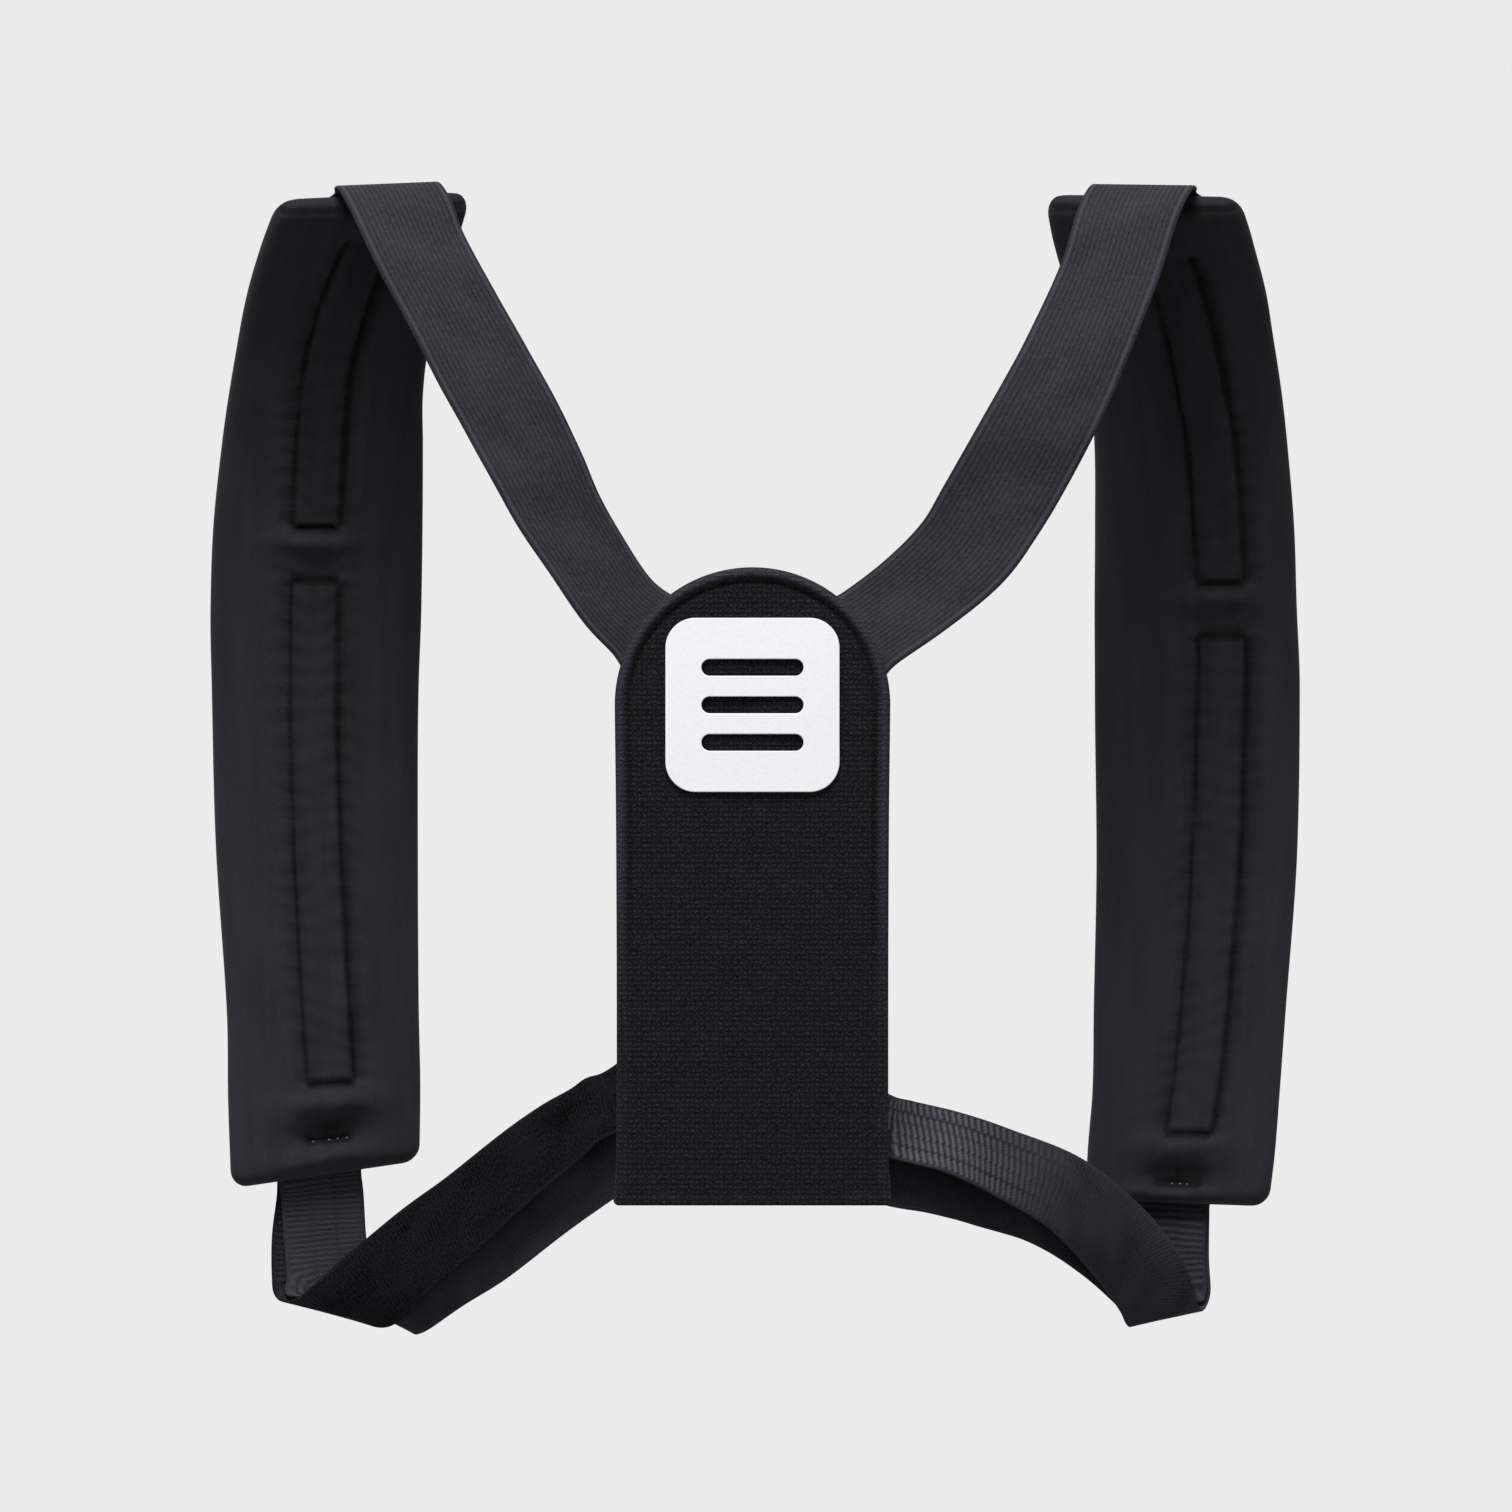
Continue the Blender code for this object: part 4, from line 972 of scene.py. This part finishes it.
def elastic_surface(u, v):
    """Fine lengthwise ribs, broken into short floats, with a plain selvedge behind a bright thread."""
    lane = np.round(u / ELASTIC_PITCH)
    rib = 0.5 + 0.5 * np.cos(2 * math.pi * u / ELASTIC_PITCH)
    scatter = np.sin(lane * 12.9898) * 43.758
    stretch = 1 + 0.35 * np.sin(lane * 4.1)
    broken = 0.5 + 0.5 * np.cos(2 * math.pi * v / (FLOAT_LENGTH * stretch) + scatter)
    inside = STRAP_WIDTH / 2 - ELASTIC_SELVEDGE - np.abs(u)
    selvedge = 1 - ramp(inside, -SELVEDGE_SOFTNESS, SELVEDGE_SOFTNESS)
    height = (0.22 + 0.50 * rib * (0.60 + 0.40 * broken)) * (1 - selvedge) + 0.30 * selvedge
    height = height + 0.75 * bell(inside, BRIGHT_THREAD) + 0.06 * ripple(u, v, 0.03, 9)
    return WEAVE_RELIEF * (height - 1), np.clip(height, 0, 1)


def shoulder_strap(side, material):
    """The elastic band over a shoulder."""
    mesh = (ELASTIC_SPACING, ELASTIC_COLUMNS)
    route = shoulder_route(side)
    strap = band(f"{side}_elastic", route, STRAP_THICKNESS, material, mesh, elastic_surface)
    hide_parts(f"{side}_shoulder_strap")


def webbing_surface(side, layer, to_fold, to_panel):
    """Ribs across the webbing in lanes; their strength changes at the fold and again near the panel,
    where it paints light and shade on the outer layers.
    """
    pitch_share, lanes, lane_depth, hanging, past_fold, beside, plain = RIBS[(side, layer)]
    pitch = pitch_share * WEBBING_WIDTH

    def surface(u, v):
        edge = WEBBING_WIDTH / 2 - WEBBING_SELVEDGE
        lane = (u / edge + 1) / 2 * lanes
        shift = 2.2 * np.sin(np.floor(lane) * 7.3) * lane_depth
        rib = (0.5 + 0.5 * np.cos(2 * math.pi * v / pitch + shift + 0.6 * ripple(u, v, 0.03, 11))) ** 1.5
        gap = np.abs(lane % 1 - 0.5) * 2
        raised = 1 - lane_depth * ramp(gap, *LANE_GAP)
        selvedge = ramp(np.abs(u), edge - SELVEDGE_SOFTNESS, edge + SELVEDGE_SOFTNESS)
        # The strength and the twill's lightness differ by side and layer partly as painted light and
        # shade, most near the panel
        strength = hanging + (past_fold - hanging) * ramp(v, to_fold - 0.004, to_fold + 0.006)
        returned = ramp(v, to_panel - RIBS_RETURN, to_panel - 0.25 * RIBS_RETURN)
        strength = strength + (beside - past_fold) * returned
        twill = 0.5 + 0.5 * np.cos(2 * math.pi * (v + TWILL_SLANT * u) / TWILL_PITCH)
        ground = plain * (0.7 + 0.6 * twill + 0.15 * ripple(u, v, 0.02, 23))
        height = strength * (0.12 + 0.75 * rib * raised) + (1 - np.minimum(strength, 1)) * ground
        height = height * (1 - selvedge) + (plain + 0.05) * selvedge
        return RIB_RELIEF * (height - 1), np.clip(height, 0, 1)

    return surface


def side_strap(side, layer, path, material):
    """A layer of the webbing along its path."""
    stations = [(centre, across, gathered_width(place)) for place, centre, across in path]
    length = to_fold = to_panel = 0.0
    for (_, before, _), (place, after, _) in zip(path, path[1:]):
        length += (after - before).length
        if place <= 1.0:
            to_fold = length
        if place <= 2.0:
            to_panel = length
    mesh = (WEBBING_SPACING, WEBBING_COLUMNS)
    surface = webbing_surface(side, layer, to_fold, to_panel)
    strap = band(f"{side}_webbing_{layer}", stations, WEBBING_THICKNESS, material, mesh, surface)
    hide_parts(f"{side}_side_strap_{layer}")


# Materials


def add_node(tree, kind, inputs=None, **settings):
    """A shader node with its settings; an input takes a number, a colour or another node's output."""
    made = tree.nodes.new("ShaderNode" + kind)
    for key, value in settings.items():
        setattr(made, key, value)
    for key, value in (inputs or {}).items():
        if isinstance(value, bpy.types.NodeSocket):
            tree.links.new(value, made.inputs[key])
        else:
            made.inputs[key].default_value = value
    return made


def multiply_add(tree, value, factor, added):
    inputs = {0: value, 1: factor, 2: added}
    return add_node(tree, "Math", inputs, operation="MULTIPLY_ADD").outputs[0]


def noise(tree, weave, size, detail, roughness):
    """Noise in the plane of the weave, its grain of a size across and along."""
    scale = (1 / size[0], 1 / size[1], 1)
    place = add_node(tree, "Mapping", {"Vector": weave, "Scale": scale}).outputs["Vector"]
    inputs = {"Vector": place, "Scale": 1.0, "Detail": detail, "Roughness": roughness}
    return add_node(tree, "TexNoise", inputs).outputs["Fac"]


def knit_loops(tree, weave):
    """Height of knitted loops, from 0 to 1: uneven level courses crossed by upright wales."""
    waves = []
    rows = (("Y", COURSE_PITCH, COURSE_UNEVENNESS), ("X", WALE_PITCH, WALE_UNEVENNESS))
    for direction, pitch, unevenness in rows:
        inputs = {
            "Vector": weave,
            "Scale": WAVE_SCALE / pitch,
            "Distortion": unevenness,
            "Detail Scale": LOOP_UNEVENNESS_SCALE,
        }
        wave = add_node(
            tree, "TexWave", inputs, wave_type="BANDS", bands_direction=direction, wave_profile="SIN"
        )
        waves.append(wave.outputs["Fac"])
    return add_node(tree, "Math", {0: waves[0], 1: waves[1]}, operation="MULTIPLY").outputs[0]


def new_material(name, roughness):
    """A material, its node tree and its shader."""
    material = bpy.data.materials.new(name)
    material.use_nodes = True
    shader = material.node_tree.nodes["Principled BSDF"]
    shader.inputs["Roughness"].default_value = roughness
    return material, material.node_tree, shader


def colour_between(tree, shader, dark, light, share):
    """Colours the shader from dark to light by a share from 0 to 1."""
    colour = add_node(tree, "ValToRGB", {"Fac": share})
    colour.color_ramp.elements[0].color = (*dark, 1)
    colour.color_ramp.elements[1].color = (*light, 1)
    tree.links.new(colour.outputs["Color"], shader.inputs["Base Color"])


def add_bump(tree, shader, strength, distance, height):
    rise = add_node(tree, "Bump", {"Strength": strength, "Distance": distance, "Height": height})
    tree.links.new(rise.outputs["Normal"], shader.inputs["Normal"])


def cloth_material(
    name, dark, light, roughness, thread, mottle, bump, contrast, sheen=0.02, gloss=0.07, loops=0.0
):
    """Cloth whose colour runs from dark to light with the tone and the painted light and shade stored on
    its mesh, a fine grain and a soft unevenness. The values are those of CLOTHS."""
    material, tree, shader = new_material(name, roughness)
    weave = add_node(tree, "UVMap", uv_map="weave").outputs["UV"]
    grain = noise(tree, weave, thread, 2.0, 0.6)
    cloud = noise(tree, weave, mottle, 3.0, 0.5)
    # The tone on the mesh carries painted light and shade besides the weave's pattern
    tone_and_painted_light = add_node(tree, "Attribute", attribute_name="tone_and_painted_light").outputs["Fac"]
    height = grain
    if loops:
        stitches = knit_loops(tree, weave)
        tone_and_painted_light = multiply_add(tree, stitches, loops, tone_and_painted_light)
        height = add_node(tree, "Math", {0: stitches, 1: height}, operation="ADD").outputs[0]
    shaded = multiply_add(tree, grain, contrast[0], tone_and_painted_light)
    shaded = multiply_add(tree, cloud, contrast[1], shaded)
    middle = (contrast[0] + contrast[1]) / 2
    spread = add_node(tree, "MapRange", {"Value": shaded, "From Min": middle, "From Max": 1 + middle})
    colour_between(tree, shader, dark, light, spread.outputs[0])
    add_bump(tree, shader, bump[0], bump[1], height)
    shader.inputs["Specular IOR Level"].default_value = gloss
    shader.inputs["Sheen Weight"].default_value = sheen
    shader.inputs["Sheen Roughness"].default_value = 0.6
    return material


def thread_material():
    material, _, shader = new_material("thread", 0.5)
    shader.inputs["Base Color"].default_value = (*THREAD_COLOUR, 1)
    return material


def patch_material():
    """White, faintly uneven from the cloth below it."""
    material, tree, shader = new_material("patch", 0.6)
    place = add_node(tree, "TexCoord").outputs["Object"]
    grain = add_node(tree, "TexNoise", {"Vector": place, "Scale": 900.0, "Detail": 2.0}).outputs["Fac"]
    colour_between(tree, shader, *PATCH_COLOURS, grain)
    add_bump(tree, shader, 0.2, 0.0002, grain)
    shader.inputs["Specular IOR Level"].default_value = 0.3
    return material


# Stage


def make_camera():
    data = bpy.data.cameras.new("camera")
    data.lens = CAMERA_LENS
    data.sensor_width = CAMERA_SENSOR
    data.clip_end = 20
    camera = add_object("camera", data)
    camera.location = CAMERA_PLACE
    camera.rotation_euler = (math.radians(90), 0, 0)
    bpy.context.scene.camera = camera


def make_key_light():
    data = bpy.data.lights.new("key", "AREA")
    data.shape = "RECTANGLE"
    data.size = data.size_y = KEY_SIZE
    data.energy = KEY_POWER
    lamp = add_object("key", data)
    lamp.location = KEY_PLACE
    lamp.rotation_euler = (Vector(KEY_TARGET) - Vector(KEY_PLACE)).to_track_quat("-Z", "Y").to_euler()


def make_stage():
    """An even pale surround with a soft key from above and behind the camera."""
    world = bpy.data.worlds.new("surround")
    world.use_nodes = True
    world.node_tree.nodes["Background"].inputs["Color"].default_value = (*BACKDROP, 1)
    world.node_tree.nodes["Background"].inputs["Strength"].default_value = 1.0
    scene = bpy.context.scene
    scene.world = world
    scene.view_settings.view_transform = "Standard"
    scene.view_settings.look = "None"
    make_key_light()
    ways = ((-1, -1), (1, -1), (1, 1), (-1, 1))
    corners = [(x * FLOOR_REACH, y * FLOOR_REACH, FLOOR_HEIGHT) for x, y in ways]
    data = bpy.data.meshes.new("floor")
    data.from_pydata(corners, [], [(0, 1, 2, 3)])
    material, _, shader = new_material("floor", 0.9)
    shader.inputs["Base Color"].default_value = (*FLOOR_COLOUR, 1)
    data.materials.append(material)
    floor = add_object("floor", data)


def main():
    make_camera()
    make_stage()
    cloths = {name: cloth_material(name, **values) for name, values in CLOTHS.items()}
    back_panel(cloths["knit"])
    inner_leaf(cloths["knit"])
    emblem_patch(patch_material())
    thread = thread_material()
    for side in SIDES:
        shoulder_pad(side, cloths["jersey"])
        tack_stitches(side, thread)
        shoulder_strap(side, cloths["elastic"])
        side_strap(side, "outer", side_path(side), cloths["webbing"])
        side_strap(side, "inner", inner_side_path(side), cloths["webbing"])


main()
